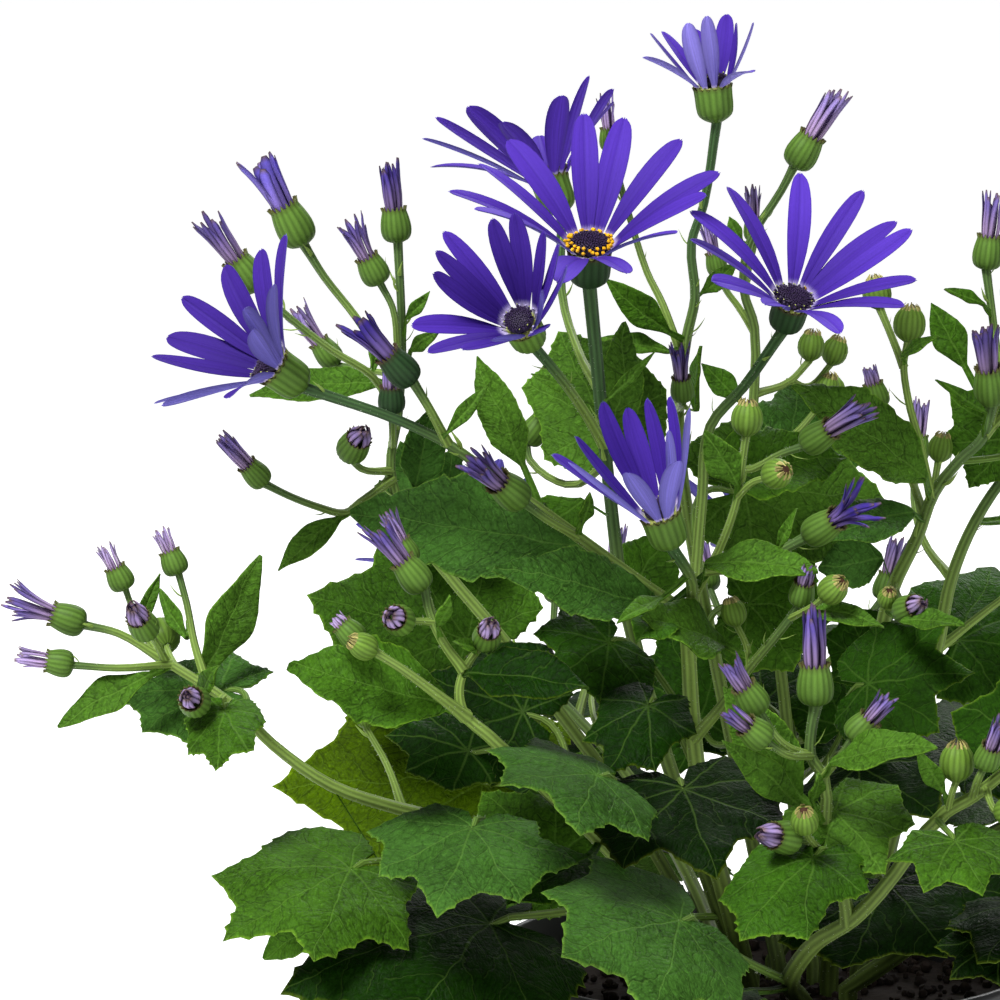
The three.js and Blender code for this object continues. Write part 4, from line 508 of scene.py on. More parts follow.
        ["lance", "upper", 0.8, [-90, 4, 272], [-83, 0, 277], [0.2, -1, 0.6], 4.5, 0.1],
        ["lance", "upper", 0.87, [-91, 4, 280], [-85, 2, 287], [0.4, -1, 0.4], 3.5, 0.1],
        ["lance", "upper_b", 0.3, [-99, -6, 268], [-98, 0, 278], [0.6, -1, 0.3], 4, 0.1],
        ["lobed", "upper", 0.25, [-76, 20, 196], [-117, 26, 206], [0, -1, 0.6], 58, 0.12],
        ["lobed", "upper", 0.26, [-72, 24, 158], [-127, 40, 154], [0, -1, 0.55], 60, 0.14],
        ["lobed", "upper", 0.42, [-83, 20, 227], [-93, 30, 246], [-0.1, -1, 0.3], 28, 0.1],
        ["oval", "upper", 0.51, [-89, 16, 236], [-85, 14, 257], [0.4, -1, 0.3], 12, 0.1],
    ],
    "back_left": [
        ["lobed", "hind_left", 0.38, [-44, 112, 144], [-68, 152, 148], [-0.4, 0.6, 1], 46, 0.2],
        ["lobed", "hind_left", 0.54, [-34, 132, 160], [-24, 178, 155], [0.2, 0.9, 0.8], 42, 0.2],
        ["lobed", "hind_left", 0.28, [-29, 110, 122], [-39, 160, 97], [-0.2, 0.9, 0.9], 52, 0.25],
        ["oval", "hind_left", 0.72, [-62, 134, 162], [-82, 168, 153], [-0.3, 0.6, 0.9], 17, 0.2],
        ["oval", "hind_left", 0.49, [-51, 128, 144], [-62, 166, 128], [0.1, 0.7, 0.8], 17, 0.2],
    ],
    "back_right": [
        ["lobed", "hind_right", 0.48, [27, 120, 148], [50, 160, 152], [0.4, 0.6, 1], 48, 0.2],
        ["lobed", "hind_right", 0.61, [8, 136, 159], [4, 182, 154], [-0.2, 0.9, 0.8], 44, 0.2],
        ["lobed", "hind_right", 0.33, [24, 118, 117], [33, 166, 92], [0.1, 0.9, 0.9], 54, 0.25],
        ["oval", "hind_right", 0.74, [17, 134, 174], [37, 164, 174], [0.3, 0.6, 0.9], 17, 0.2],
        ["oval", "hind_right", 0.67, [3, 134, 168], [-13, 166, 165], [-0.3, 0.7, 0.8], 16, 0.2],
    ],
    "far_right": [
        ["lobed", "far", 0.28, [79, -52, 159], [99, -74, 153], [0.3, -1, 0.9], 52, 0.25],
        ["lobed", "far", 0.43, [61, -62, 186], [54, -64, 206], [-0.1, -1, 0.5], 40, 0.1],
        ["lobed", "far", 0.54, [100, -22, 191], [130, -10, 176], [0.5, -0.5, 1], 46, 0.2],
        ["oval", "far", 0.71, [95, -56, 221], [118, -76, 222], [0.2, -1, 1], 18, 0.2],
        ["oval", "far", 0.65, [83, -56, 216], [60, -70, 226], [-0.2, -1, 0.8], 16, 0.15],
        ["lance", "far", 0.91, [99, -40, 255], [88, -50, 269], [-0.4, -1, 0.3], 7, 0.1],
        ["lobed", "far", 0.28, [55, -86, 151], [62, -112, 141], [0.2, -1, 1], 38, 0.25],
        ["lobed", "far", 0.2, [50, -92, 145], [37, -100, 136], [-0.3, -0.8, 1], 24, 0.2],
    ],
    "far_back": [
        ["lobed", "far_back", 0.43, [96, 96, 142], [129, 132, 137], [0.5, 0.4, 1], 50, 0.2],
        ["lobed", "far_back", 0.38, [72, 100, 138], [74, 150, 131], [0, 0.9, 0.8], 46, 0.2],
        ["lobed", "far_back", 0.21, [74, 90, 107], [103, 120, 89], [0.4, 0.5, 1], 50, 0.25],
        ["oval", "far_back", 0.71, [112, 104, 196], [134, 140, 190], [0.3, 0.6, 0.9], 17, 0.2],
        ["oval", "far_back", 0.69, [111, 76, 195], [142, 70, 193], [0.4, -0.2, 1], 17, 0.2],
    ],
}

# Petals of each bloom as [degrees round the head, degrees from the head's aim, length]
PETALS = {
    "bloom_1": [
        [9, 56, 32.5], [40, 51, 32], [70, 49, 33], [94, 49, 33], [127, 58, 32], [158, 53, 30],
        [184, 58, 33.5], [209, 52, 33.5], [255, 70, 32.5], [282, 69, 32.5], [311, 57, 32.5],
        [339, 51, 32.5],
    ],
    "bloom_2": [
        [5, 47, 25.5], [33, 53, 28], [74, 61, 28.5], [85, 54, 29], [113, 54, 28.5], [158, 56, 30.5],
        [183, 47, 31], [209, 45, 30.5], [239, 45, 29.5], [261, 68, 28.5], [292, 61, 28], [322, 45, 27],
    ],
    "bloom_3": [
        [2, 53, 28.5], [39, 55, 26.5], [68, 47, 28], [92, 41, 29], [115, 48, 28.5], [149, 35, 27.5],
        [185, 44, 27], [212, 48, 29], [252, 63, 28], [286, 57, 29], [295, 43, 28.5], [317, 51, 27],
    ],
    "bloom_4": [
        [19, 25, 25], [49, 31, 25.5], [71, 26, 25], [107, 43, 25.5], [129, 28, 25.5], [158, 26, 25.5],
        [181, 43, 26.5], [207, 46, 27], [231, 39, 27], [256, 36, 27], [288, 42, 27], [306, 26, 27],
        [332, 34, 27], [358, 30, 26.5],
    ],
    "bloom_5": [
        [20, 45, 31], [46, 55, 30], [70, 51, 31], [98, 49, 30.5], [135, 59, 29.5], [167, 59, 30],
        [194, 59, 30.5], [222, 64, 30.5], [253, 59, 30], [292, 61, 30.5], [327, 54, 31.5], [346, 49, 30],
    ],
    "bloom_6": [
        [25, 19, 15.5], [63, 28, 18.5], [97, 47, 18.5], [130, 39, 18.5], [166, 35, 18], [205, 53, 17.5],
        [241, 23, 19], [276, 20, 20.5], [299, 72, 17.5], [345, 31, 17],
    ],
    "bloom_7": [
        [21, 18, 26.5], [55, 15, 26], [92, 30, 25], [114, 16, 28.5], [154, 22, 25.5], [184, 31, 28.5],
        [216, 30, 28.5], [259, 37, 27.5], [289, 44, 28], [304, 21, 26], [345, 22, 26.5],
    ],
}

X, Y, UP = np.eye(3)


def rgb(red, green, blue):
    """A colour read from 0 to 255, in linear light."""
    value = np.array([red, green, blue]) / 255
    return np.where(value <= 0.04045, value / 12.92, ((value + 0.055) / 1.055) ** 2.4)


# Leaf tones. Besides the leaves' own tones, some paint light and shade: d and k are also painted shade on
# leaves inside and behind the plant, n is painted shade, b is toned down below mid as painted shade on
# leaves full in the key light, and l is painted light shining through a leaf from behind.
LEAF_TONES = {
    "m": rgb(59, 97, 21),  # mid
    "c": rgb(54, 91, 31),  # cool
    "d": rgb(36, 71, 9),  # dark
    "k": rgb(17, 45, 2),  # deep
    "n": rgb(10, 32, 1),  # in the plant's shade
    "b": rgb(51, 89, 18),  # bright
    "l": rgb(64, 90, 1),  # lime
    "f": rgb(68, 106, 29),  # fresh
}
UNDERSIDE = rgb(72, 100, 42)
UPPER_VEIN = rgb(112, 146, 66)
UNDER_VEIN = rgb(140, 164, 104)
# Added to a leaf's rim: painted light shining through the thin edge, with the pale margin
EDGE_GLOW = rgb(60, 66, 8)
STEM_LIGHT = rgb(122, 148, 68)
STEM_DARK = rgb(45, 75, 46)
CUP_GREEN = rgb(82, 114, 43)
CUP_DARK = rgb(36, 60, 32)
BUD_GREEN = rgb(100, 132, 48)
BRACT_TIP = rgb(70, 46, 34)
PETAL = rgb(76, 47, 162)
PETAL_DEEP = rgb(58, 34, 130)
PETAL_UNDER = rgb(84, 74, 156)
PETAL_BASE = rgb(222, 208, 250)
CLAW_TIP = rgb(170, 160, 200)
STRAP_PALE = rgb(164, 146, 190)
STRAP_WIDE = rgb(106, 92, 190)
STRAP_DARK = rgb(54, 40, 122)
STRAP_BASE = rgb(150, 126, 162)
STRAP_TIP = rgb(104, 84, 84)
FLORET = rgb(44, 28, 62)
CLAW = rgb(186, 196, 96)
POLLEN = rgb(246, 186, 4)
HAIR = rgb(190, 200, 178)
BUD_POINT = rgb(168, 160, 96)
SOIL_BROWN = rgb(30, 22, 17)
POT_BLACK = rgb(20, 20, 22)

# The tone of each leaf of a shoot, a letter a leaf in their order. Besides each leaf's own tone, the
# letters paint light and shade: dark letters on leaves in shade inside and behind the plant, fresher ones
# on some leaves that the lamps leave dim.
TONES = {
    "left_trailer": "fffcmffmkcm",
    "left_front": "mkckkdff",
    "main": "ccfffbffmfffffndk",
    "centre": "ffffmmm",
    "top": "mffmmd",
    "back_mid": "cmfdk",
    "right": "fcmmmmffdncn",
    "right_back": "ddmfk",
    "front_right": "ffffbfmcnf",
    "left_back": "fffffmlcc",
    "back_left": "kkkdd",
    "back_right": "kkkdd",
    "far_right": "kddmmfnn",
    "far_back": "ddkdd",
}

# Cups of bracts as [height, radius] along the head's axis, for a head of size 1
CUPS = {
    "tuft": [[0, 1.2], [0.5, 2.5], [1.4, 3.3], [3.2, 3.65], [5.4, 3.4], [7.4, 2.9]],
    "bud": [
        [0, 1.1], [1.0, 2.6], [2.2, 3.5], [4.0, 3.85], [5.8, 3.6], [7.1, 2.9], [8.0, 2.0], [8.3, 1.2],
    ],
    "bloom": [[0, 1.4], [0.8, 3.0], [2.0, 4.3], [4.2, 4.75], [6.4, 4.8], [8.4, 4.9]],
}

# A disc's dome as [height, share of its radius], its height there as [shares, heights], and its rings of
# open florets as (count, share of the radius, height), on an open bloom and on a steep one
DISC_PROFILE = np.array([[0.0, 0.86], [0.9, 1.0], [1.8, 0.98], [2.2, 0.8], [2.35, 0.45], [2.4, 0.1]])
DISC_DOME = [[0, 0.45, 0.8, 1], [2.4, 2.35, 2.2, 1.7]]
OPEN_RINGS = [(20, 1.02, 1.9), (22, 1.2, 1.5)]
STEEP_RINGS = [(16, 1.0, 2.0)]

# A bead's rings as [height, radius]
BEAD_FORM = np.array([[-0.8, 0.5], [0.0, 1.0], [0.7, 0.62]])

# A petal: places along it as shares of the length, its half width there, and places across it
PETAL_PLACES = np.array(
    [-0.06, 0, 0.05, 0.12, 0.22, 0.34, 0.46, 0.57, 0.67, 0.76, 0.84, 0.9, 0.945, 0.975, 1.0]
)
PETAL_FORM = np.array(
    [0.26, 0.31, 0.38, 0.5, 0.68, 0.85, 0.96, 1, 0.99, 0.94, 0.84, 0.71, 0.57, 0.42, 0.22]
)
PETAL_ACROSS = np.array([-1, -0.8, -0.55, -0.4, -0.33, -0.2, 0, 0.2, 0.33, 0.4, 0.55, 0.8, 1])

# How wide a bloom's petals are beside the others', how far painted shade darkens them (most on bloom_3,
# which faces away from the light), and the undersides that differ
PETAL_WIDTHS = {"bloom_3": 0.95, "bloom_4": 0.9, "bloom_6": 0.78}
PETAL_PAINTED_SHADE = {"bloom_3": 0.65, "bloom_4": 0.88}
UNDERSIDES = {
    "bloom_2": PETAL,
    "bloom_3": rgb(100, 92, 172),
    "bloom_6": rgb(122, 112, 192),
    "bloom_7": rgb(108, 100, 180),
}

# Petals whose underside is the usual one all the same
SLATE_PETALS = {("bloom_2", 5), ("bloom_2", 6)}

# Tufts as [splay, darkness, share of the usual length, girth of the cup, width of a strap]
TUFT_LOOKS = {
    "trailer_a": [0.26, 0.78, 1.0, 1.0, 0.85],
    "trailer_b": [0.05, 0.2, 0.8, 1.15, 0.8],
    "trailer_c": [0.0, 0.5, 0.5, 1.0, 1.0],
    "trailer_d": [0.1, 0.1, 0.72, 1.18, 0.7],
    "trailer_e": [0.05, 0.15, 0.75, 1.18, 0.8],
    "trailer_f": [0.0, 0.4, 0.5, 1.25, 1.0],
    "upper": [0.03, 0.95, 1.0, 1.0, 0.9],
    "upper_a": [0.16, 0.82, 0.95, 1.08, 0.85],
    "upper_b": [0.1, 0.84, 1.0, 1.0, 0.9],
    "upper_c": [0.14, 0.62, 0.95, 0.94, 1.7],
    "upper_d": [0.05, 0.7, 1.0, 1.0, 0.9],
    "upper_e": [0.0, 0.6, 0.4, 1.1, 1.0],
    "upper_f": [0.15, 0.55, 1.0, 1.0, 1.0],
    "upper_g": [0.0, 0.8, 0.6, 1.1, 1.0],
    "main_b": [0.14, 1.0, 0.95, 0.92, 1.3],
    "main_c": [0.16, 0.84, 0.75, 0.95, 0.85],
    "main_g": [0.42, 1.0, 0.7, 0.85, 0.85],
    "main_i": [0.1, 0.7, 0.95, 0.95, 0.9],
    "main_j": [0.05, 0.55, 0.6, 1.1, 0.9],
    "front_a": [0.16, 0.84, 0.95, 1.0, 0.85],
    "front_b": [0.1, 0.55, 0.9, 1.0, 0.9],
    "front_c": [0.0, 0.3, 0.45, 1.15, 1.0],
    "front_e": [0.0, 0.0, 0.35, 1.2, 0.8],
    "front_f": [0.0, 0.3, 0.5, 1.05, 1.0],
    "near_a": [0.0, 0.88, 1.0, 1.0, 0.9],
    "near_b": [0.06, 0.74, 0.7, 1.1, 0.8],
    "near_c": [0.04, 0.78, 0.65, 1.2, 0.8],
    "near_d": [0.12, 0.72, 0.8, 1.2, 0.8],
    "near_e": [0.0, 0.5, 0.5, 1.15, 1.0],
    "near_h": [0.05, 0.68, 0.8, 1.1, 0.9],
    "right": [0.1, 0.85, 0.8, 0.9, 1.0],
    "right_c": [0.05, 0.75, 0.9, 1.0, 0.9],
    "right_e": [0.0, 0.2, 0.4, 1.1, 0.9],
    "right_h": [0.0, 0.6, 0.5, 1.1, 0.9],
    "top_b": [0.12, 0.85, 1.0, 1.0, 1.0],
}
PLAIN_TUFT = [0.06, 0.55, 1.0, 1.0, 0.9]

# Half outlines of a long blade as [share of the length, share of the width]
BLADE_OUTLINES = {
    "oval": [
        [0, 0.14], [0.1, 0.42], [0.26, 0.92], [0.4, 1.0], [0.56, 0.94], [0.78, 0.62], [0.92, 0.26],
        [1, 0.02],
    ],
    "lance": [[0, 0.18], [0.2, 0.62], [0.4, 1.0], [0.6, 0.86], [0.8, 0.5], [1, 0.02]],
}
BLADE_ACROSS = np.array([1, 0.94, 0.7, 0.42, 0.16, 0, -0.16, -0.42, -0.7, -0.94, -1])

# A lobed blade's half outline round the end of its stalk as [degrees from the tip, share of the length]
LOBED_OUTLINE = [
    [0, 1], [22, 0.78], [43, 0.92], [65, 0.72], [88, 0.81], [110, 0.58], [132, 0.54], [158, 0.3],
]
VEIN_ANGLES = [0, 42, 88, 132]
STRETCH_VEINS = [0, 1, 1, 2, 2, 3, 3, 3]

# The edge from a lobe's tip to the bay beside it as [share of the way, share of the length outwards]
EDGE = [
    [0.12, -0.004], [0.26, 0.0], [0.38, 0.026], [0.46, -0.004], [0.64, 0.004], [0.74, 0.024],
    [0.82, -0.006],
]
LOBED_WIDTH = 1.52
NOTCH = 0.1
NOTCH_HALF_WIDTH = 0.75

# Waves of a lobed blade as [share of the width high, share of the width long]
PUCKERS = ((0.024, 0.62), (0.011, 0.3), (0.005, 0.13))


def random(seed):
    """A number from 0 to 1, or an array of them, that depends on the seed alone."""
    x = np.sin(np.asarray(seed) * 12.9898 + RANDOM_SEED * 78.233) * 43758.5453
    return x - np.floor(x)


def even_petals(count, opening, length, seed):
    """Petals spaced evenly round a head, each a little off its place."""
    rows = []
    for i in range(count):
        turn, lean, reach = (random(seed * 31 + i * 7 + k) - 0.5 for k in (1, 2, 3))
        rows.append([360 * i / count + 10 * turn, opening + 16 * lean, length + 3 * reach])
    return rows


# The blooms past the photograph's edge and behind the plant as (degrees from the aim, length)
for number, (opening, length) in enumerate([(56, 30), (52, 31), (58, 31), (55, 32), (50, 30)], 8):
    PETALS[f"bloom_{number}"] = even_petals(12, opening, length, number)


def unit(vector):
    """A vector made one long."""
    vector = np.asarray(vector, float)
    return vector / np.linalg.norm(vector)


def axes_across(direction, before):
    """Unit axes across a direction, the first as near to an axis before it as it can be."""
    u = unit(before - direction * np.dot(before, direction))
    return u, np.cross(direction, u)


def any_across(direction):
    """A unit axis across a direction, always the same one."""
    return axes_across(direction, X if abs(direction[0]) < 0.7 else Y)[0]


def head_axes(aim):
    """The two axes across a head's aim from which places round it are counted."""
    u = unit(np.cross(Y, aim))
    return u, np.cross(aim, u)


def around(u, v, angle):
    """The way out at an angle from one axis to the other, or a row of ways at an array of angles."""
    return np.multiply.outer(np.cos(angle), u) + np.multiply.outer(np.sin(angle), v)


def circle_angles(sides):
    """Angles spaced evenly round a circle."""
    return 2 * np.pi * np.arange(sides) / sides


def on_curve(path, places):
    """Points on the smooth curve through a path, at places counted in stretches from its start."""
    path = np.asarray(path, float)
    chords = np.diff(path, axis=0)
    lengths = np.linalg.norm(chords, axis=1)
    tangents = np.empty_like(path)
    tangents[0] = chords[0] / lengths[0]
    tangents[-1] = chords[-1] / lengths[-1]
    for i in range(1, len(path) - 1):
        tangents[i] = unit(chords[i - 1] / lengths[i - 1] + chords[i] / lengths[i])
    places = np.asarray(places, float)
    i = np.minimum(places.astype(int), len(chords) - 1)
    t = (places - i)[:, None]
    reach = lengths[i][:, None]
    start, end = path[i], path[i + 1]
    leaving, coming = tangents[i] * reach, tangents[i + 1] * reach
    return (
        start * (1 + 2 * t) * (1 - t) ** 2
        + leaving * t * (1 - t) ** 2
        + end * t * t * (3 - 2 * t)
        + coming * t * t * (t - 1)
    )


def lengths_along(path):
    """The distance from the start of a path to each of its points."""
    steps = np.linalg.norm(np.diff(path, axis=0), axis=1)
    return np.concatenate([[0], np.cumsum(steps)])


def placed(name, data):
    """A new object in the scene."""
    made = bpy.data.objects.new(name, data)
    bpy.context.scene.collection.objects.link(made)
    return made


class Skin:
    """Points in millimetres, faces, and what the materials read of them, gathered for one mesh."""

    def __init__(self):
        self.points = []
        self.tints = []
        self.patches = []
        self.count = 0

    def add(self, points, faces, slot, tint, grain):
        """The grain is one pair of numbers for each point, or for each corner of each face."""
        points = np.asarray(points, float).reshape(-1, 3)
        faces = np.asarray(faces, int)
        grain = np.asarray(grain, float)
        if grain.ndim == 2:
            grain = grain[faces]
        self.points.append(points)
        self.tints.append(np.broadcast_to(tint, points.shape))
        self.patches.append((faces + self.count, slot, grain))
        self.count += len(points)

    def wrap(self, rings, slot, tint):
        """A closed skin over rings, which run counter-clockwise seen from the last.

        The tint is one colour, or one for each ring or point.
        """
        rings = np.asarray(rings, float)
        rows, cols = rings.shape[:2]
        tint = np.asarray(tint, float)
        if tint.ndim == 2:
            tint = tint[:, None]
        tint = np.broadcast_to(tint, (rows, cols, 3))
        index = np.arange(rows * cols).reshape(rows, cols)
        right = np.roll(index, -1, axis=1)
        quads = np.stack([index[:-1], right[:-1], right[1:], index[1:]], axis=-1).reshape(-1, 4)
        way = lengths_along(rings.mean(1))
        column = np.arange(cols)
        across = np.stack([column, column + 1, column + 1, column], axis=-1) / cols
        along = np.stack([way[:-1], way[:-1], way[1:], way[1:]], axis=-1)
        grain = np.empty((rows - 1, cols, 4, 2))
        grain[..., 0] = across[None]
        grain[..., 1] = along[:, None]
        self.add(rings, quads, slot, tint.reshape(-1, 3), grain.reshape(-1, 4, 2))
        for end, order in ((0, -1), (-1, 1)):
            ring = rings[end]
            middle = np.full(cols, cols)
            fan = np.stack([middle, column, (column + 1) % cols], axis=-1)[:, ::order]
            pair = np.tile([0.5, way[end]], (cols + 1, 1))
            self.add(np.vstack([ring, ring.mean(0)]), fan, slot, tint[end, 0], pair)

    def object(self, name, nodes, material_slot):
        """The mesh object, which replaces CAD nodes and rides with the body."""
        mesh = bpy.data.meshes.new(name)
        points = np.concatenate(self.points) * MM
        corners = np.concatenate([faces.ravel() for faces, _, _ in self.patches])
        sizes = np.concatenate([np.full(len(faces), faces.shape[1]) for faces, _, _ in self.patches])
        mesh.vertices.add(len(points))
        mesh.vertices.foreach_set("co", points.ravel())
        mesh.loops.add(len(corners))
        mesh.loops.foreach_set("vertex_index", corners)
        mesh.polygons.add(len(sizes))
        mesh.polygons.foreach_set("loop_start", np.concatenate([[0], np.cumsum(sizes)[:-1]]))
        slots = list(dict.fromkeys(slot for _, slot, _ in self.patches))
        for slot in slots:
            mesh.materials.append(MATERIALS[slot])
        picks = [np.full(len(faces), slots.index(slot)) for faces, slot, _ in self.patches]
        mesh.polygons.foreach_set("material_index", np.concatenate(picks))
        mesh.polygons.foreach_set("use_smooth", np.ones(len(sizes), bool))
        uv = mesh.uv_layers.new(name="grain")
        uv.data.foreach_set("uv", np.concatenate([g.ravel() for _, _, g in self.patches]))
        tint = mesh.color_attributes.new("tint", "FLOAT_COLOR", "POINT")
        colours = np.ones((len(points), 4))
        colours[:, :3] = np.concatenate(self.tints)
        tint.data.foreach_set("color", colours.ravel())
        mesh.update()
        mesh.validate()
        made = placed(name, mesh)
        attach(made, "root")
        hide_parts(*nodes)


# Materials


class Net:
    """A material's nodes, written as expressions."""

    def __init__(self, name, roughness, specular):
        self.material = bpy.data.materials.new(name)
        self.material.use_nodes = True
        self.tree = self.material.node_tree
        self.shader = self.tree.nodes["Principled BSDF"]
        self.shader.inputs["Roughness"].default_value = roughness
        self.shader.inputs["Specular IOR Level"].default_value = specular
        grain = self.node("ShaderNodeUVMap", uv_map="grain")
        split = self.node("ShaderNodeSeparateXYZ")
        self.join(grain.outputs["UV"], split.inputs[0])
        self.u, self.v = split.outputs[0], split.outputs[1]
        tint = self.node("ShaderNodeAttribute", attribute_name="tint")
        self.tint = tint.outputs["Color"]
        self.place = self.node("ShaderNodeTexCoord").outputs["Object"]

    def node(self, kind, **settings):
        made = self.tree.nodes.new(kind)
        for key, value in settings.items():
            setattr(made, key, value)
        return made

    def join(self, value, socket):
        if isinstance(value, bpy.types.NodeSocket):
            self.tree.links.new(value, socket)
        else:
            socket.default_value = value

    def math(self, operation, *values):
        made = self.node("ShaderNodeMath", operation=operation)
        for value, socket in zip(values, made.inputs):
            self.join(value, socket)
        return made.outputs[0]

    def add(self, a, b):
        return self.math("ADD", a, b)

    def less(self, a, b):
        return self.math("SUBTRACT", a, b)

    def times(self, a, b):
        return self.math("MULTIPLY", a, b)

    def apart(self, value, middle):
        """How far a value is from a middle one."""
        return self.math("ABSOLUTE", self.less(value, middle))

    def step(self, value, low, high):
        """0 where the value is at low, 1 at high, smooth between."""
        made = self.node("ShaderNodeMapRange", interpolation_type="SMOOTHSTEP")
        for socket, given in zip(("Value", "From Min", "From Max"), (value, low, high)):
            self.join(given, made.inputs[socket])
        return made.outputs["Result"]

    def fall(self, value, low, high):
        """1 where the value is at low, 0 at high, smooth between."""
        return self.less(1.0, self.step(value, low, high))

    def pair(self, x, y):
        """A place of two values for a noise."""
        made = self.node("ShaderNodeCombineXYZ")
        self.join(x, made.inputs[0])
        self.join(y, made.inputs[1])
        return made.outputs[0]

    def noise(self, vector, scale, detail=2.0):
        made = self.node("ShaderNodeTexNoise")
        self.join(vector, made.inputs["Vector"])
        made.inputs["Scale"].default_value = scale
        made.inputs["Detail"].default_value = detail
        return made.outputs["Fac"]

    def cells(self, vector, scale):
        """The distance to the edge of the nearest cell."""
        made = self.node("ShaderNodeTexVoronoi", feature="DISTANCE_TO_EDGE")
        self.join(vector, made.inputs["Vector"])
        made.inputs["Scale"].default_value = scale
        return made.outputs["Distance"]

    def mix(self, factor, a, b):
        """A colour between two, of which each is a socket or a colour itself."""
        made = self.node("ShaderNodeMix", data_type="RGBA")
        self.join(factor, made.inputs[0])
        for colour, socket in ((a, made.inputs[6]), (b, made.inputs[7])):
            self.join(colour if isinstance(colour, bpy.types.NodeSocket) else (*colour, 1), socket)
        return made.outputs[2]

    def scaled(self, colour, factor):
        """A colour times a number."""
        made = self.node("ShaderNodeVectorMath", operation="SCALE")
        self.join(colour, made.inputs[0])
        self.join(factor, made.inputs["Scale"])
        return made.outputs[0]

    def bump(self, height, strength, distance=0.0003):
        made = self.node("ShaderNodeBump")
        made.inputs["Strength"].default_value = strength
        made.inputs["Distance"].default_value = distance
        self.join(height, made.inputs["Height"])
        self.join(made.outputs[0], self.shader.inputs["Normal"])

    def done(self, colour):
        self.join(colour, self.shader.inputs["Base Color"])
        return self.material


def leaf_material(name, vein_colour, vein_strength, relief, roughness, specular):
    """A blade: the grain is the distance along and across the nearest main vein, in millimetres."""
    net = Net(name, roughness, specular)
    loose = net.math("MINIMUM", net.times(net.u, 0.5), 4.5)
    drift = net.times(net.less(net.noise(net.place, LEAF_NOISE["drift"]), 0.5), loose)
    off = net.math("ABSOLUTE", net.add(net.v, drift))
    wander = net.times(net.noise(net.place, LEAF_NOISE["wander"]), 0.9)
    width = net.math("MAXIMUM", 0.24, net.less(0.55, net.times(net.u, 0.012)))
    main = net.fall(off, 0.06, net.times(width, 0.9))
    bent = net.less(net.u, net.add(net.times(off, 0.7), net.times(net.times(off, off), 0.02)))
    run = net.add(net.math("DIVIDE", bent, SIDE_VEIN_SPACING), wander)
    side = net.fall(net.apart(net.math("FRACT", run), 0.5), 0.01, 0.04)
    beside = net.fall(net.apart(net.math("FRACT", net.add(run, 0.05)), 0.5), 0.0, 0.06)
    creases = net.step(net.noise(net.pair(net.times(bent, 1.1), net.times(off, 0.5)), 1.0, 4.0), 0.3, 0.7)
    cells = net.cells(net.place, LEAF_NOISE["cells"])
    quilt = net.step(cells, 0.0, 0.3)
    mesh = net.step(cells, 0.0, 0.16)
    blotch = net.step(net.noise(net.place, LEAF_NOISE["blotch"], 3.0), 0.3, 0.72)
    fine = net.step(net.noise(net.place, LEAF_NOISE["fine"], 2.0), 0.2, 0.8)
    speck = net.step(net.noise(net.place, LEAF_NOISE["speck"], 1.0), 0.66, 0.74)
    # Painted shade and light in the leaf's tone: darker wrinkles (creases) and a darker network between the
    # puckered cells (mesh) are painted shade in the hollows, and the bright specks are the pale hairs with
    # painted glints on them; blotch and fine are the leaf's own tone.
    shade = net.add(net.times(blotch, 0.4), net.add(net.times(fine, 0.42), net.times(creases, 0.3)))
    shade = net.add(net.add(0.18, shade), net.add(net.times(speck, 0.45), net.times(mesh, 0.26)))
    # Painted shadow: a darker line beside each side vein (beside).
    body = net.scaled(net.scaled(net.tint, shade), net.less(1.0, net.times(beside, 0.4)))
    lines = net.math("MAXIMUM", main, net.times(side, 0.5))
    height = net.add(net.times(quilt, -0.5 * relief), net.times(lines, 0.9 * relief))
    net.bump(net.add(height, net.add(net.times(fine, 0.6), net.times(creases, 0.9))), 0.55, 0.0004)
    shown = net.math("MAXIMUM", main, net.times(side, 0.45))
    pale = net.mix(0.5, net.scaled(net.tint, 2.0), vein_colour)
    return net.done(net.mix(net.times(shown, vein_strength), body, pale))


def stem_material(name, roughness, ridges, contrast, streaks=0.5):
    """A stem, cup or rolled floret: the grain is the share of the way round, and millimetres along."""
    net = Net(name, roughness, specular=0.12)
    streak = net.noise(net.pair(net.times(net.u, 16.0), net.times(net.v, 0.12)), 1.0, 3.0)
    speck = net.noise(net.place, 1800.0, 2.0)
    ridge = net.math("COSINE", net.times(net.u, 2 * math.pi * ridges))
    grain = net.add(net.times(speck, 0.24), net.times(ridge, contrast))
    shade = net.add(0.85 - streaks / 2, net.add(net.times(streak, streaks), grain))
    net.bump(net.add(net.add(streak, net.times(ridge, 0.5)), net.times(speck, 0.6)), 0.4)
    return net.done(net.scaled(net.tint, shade))


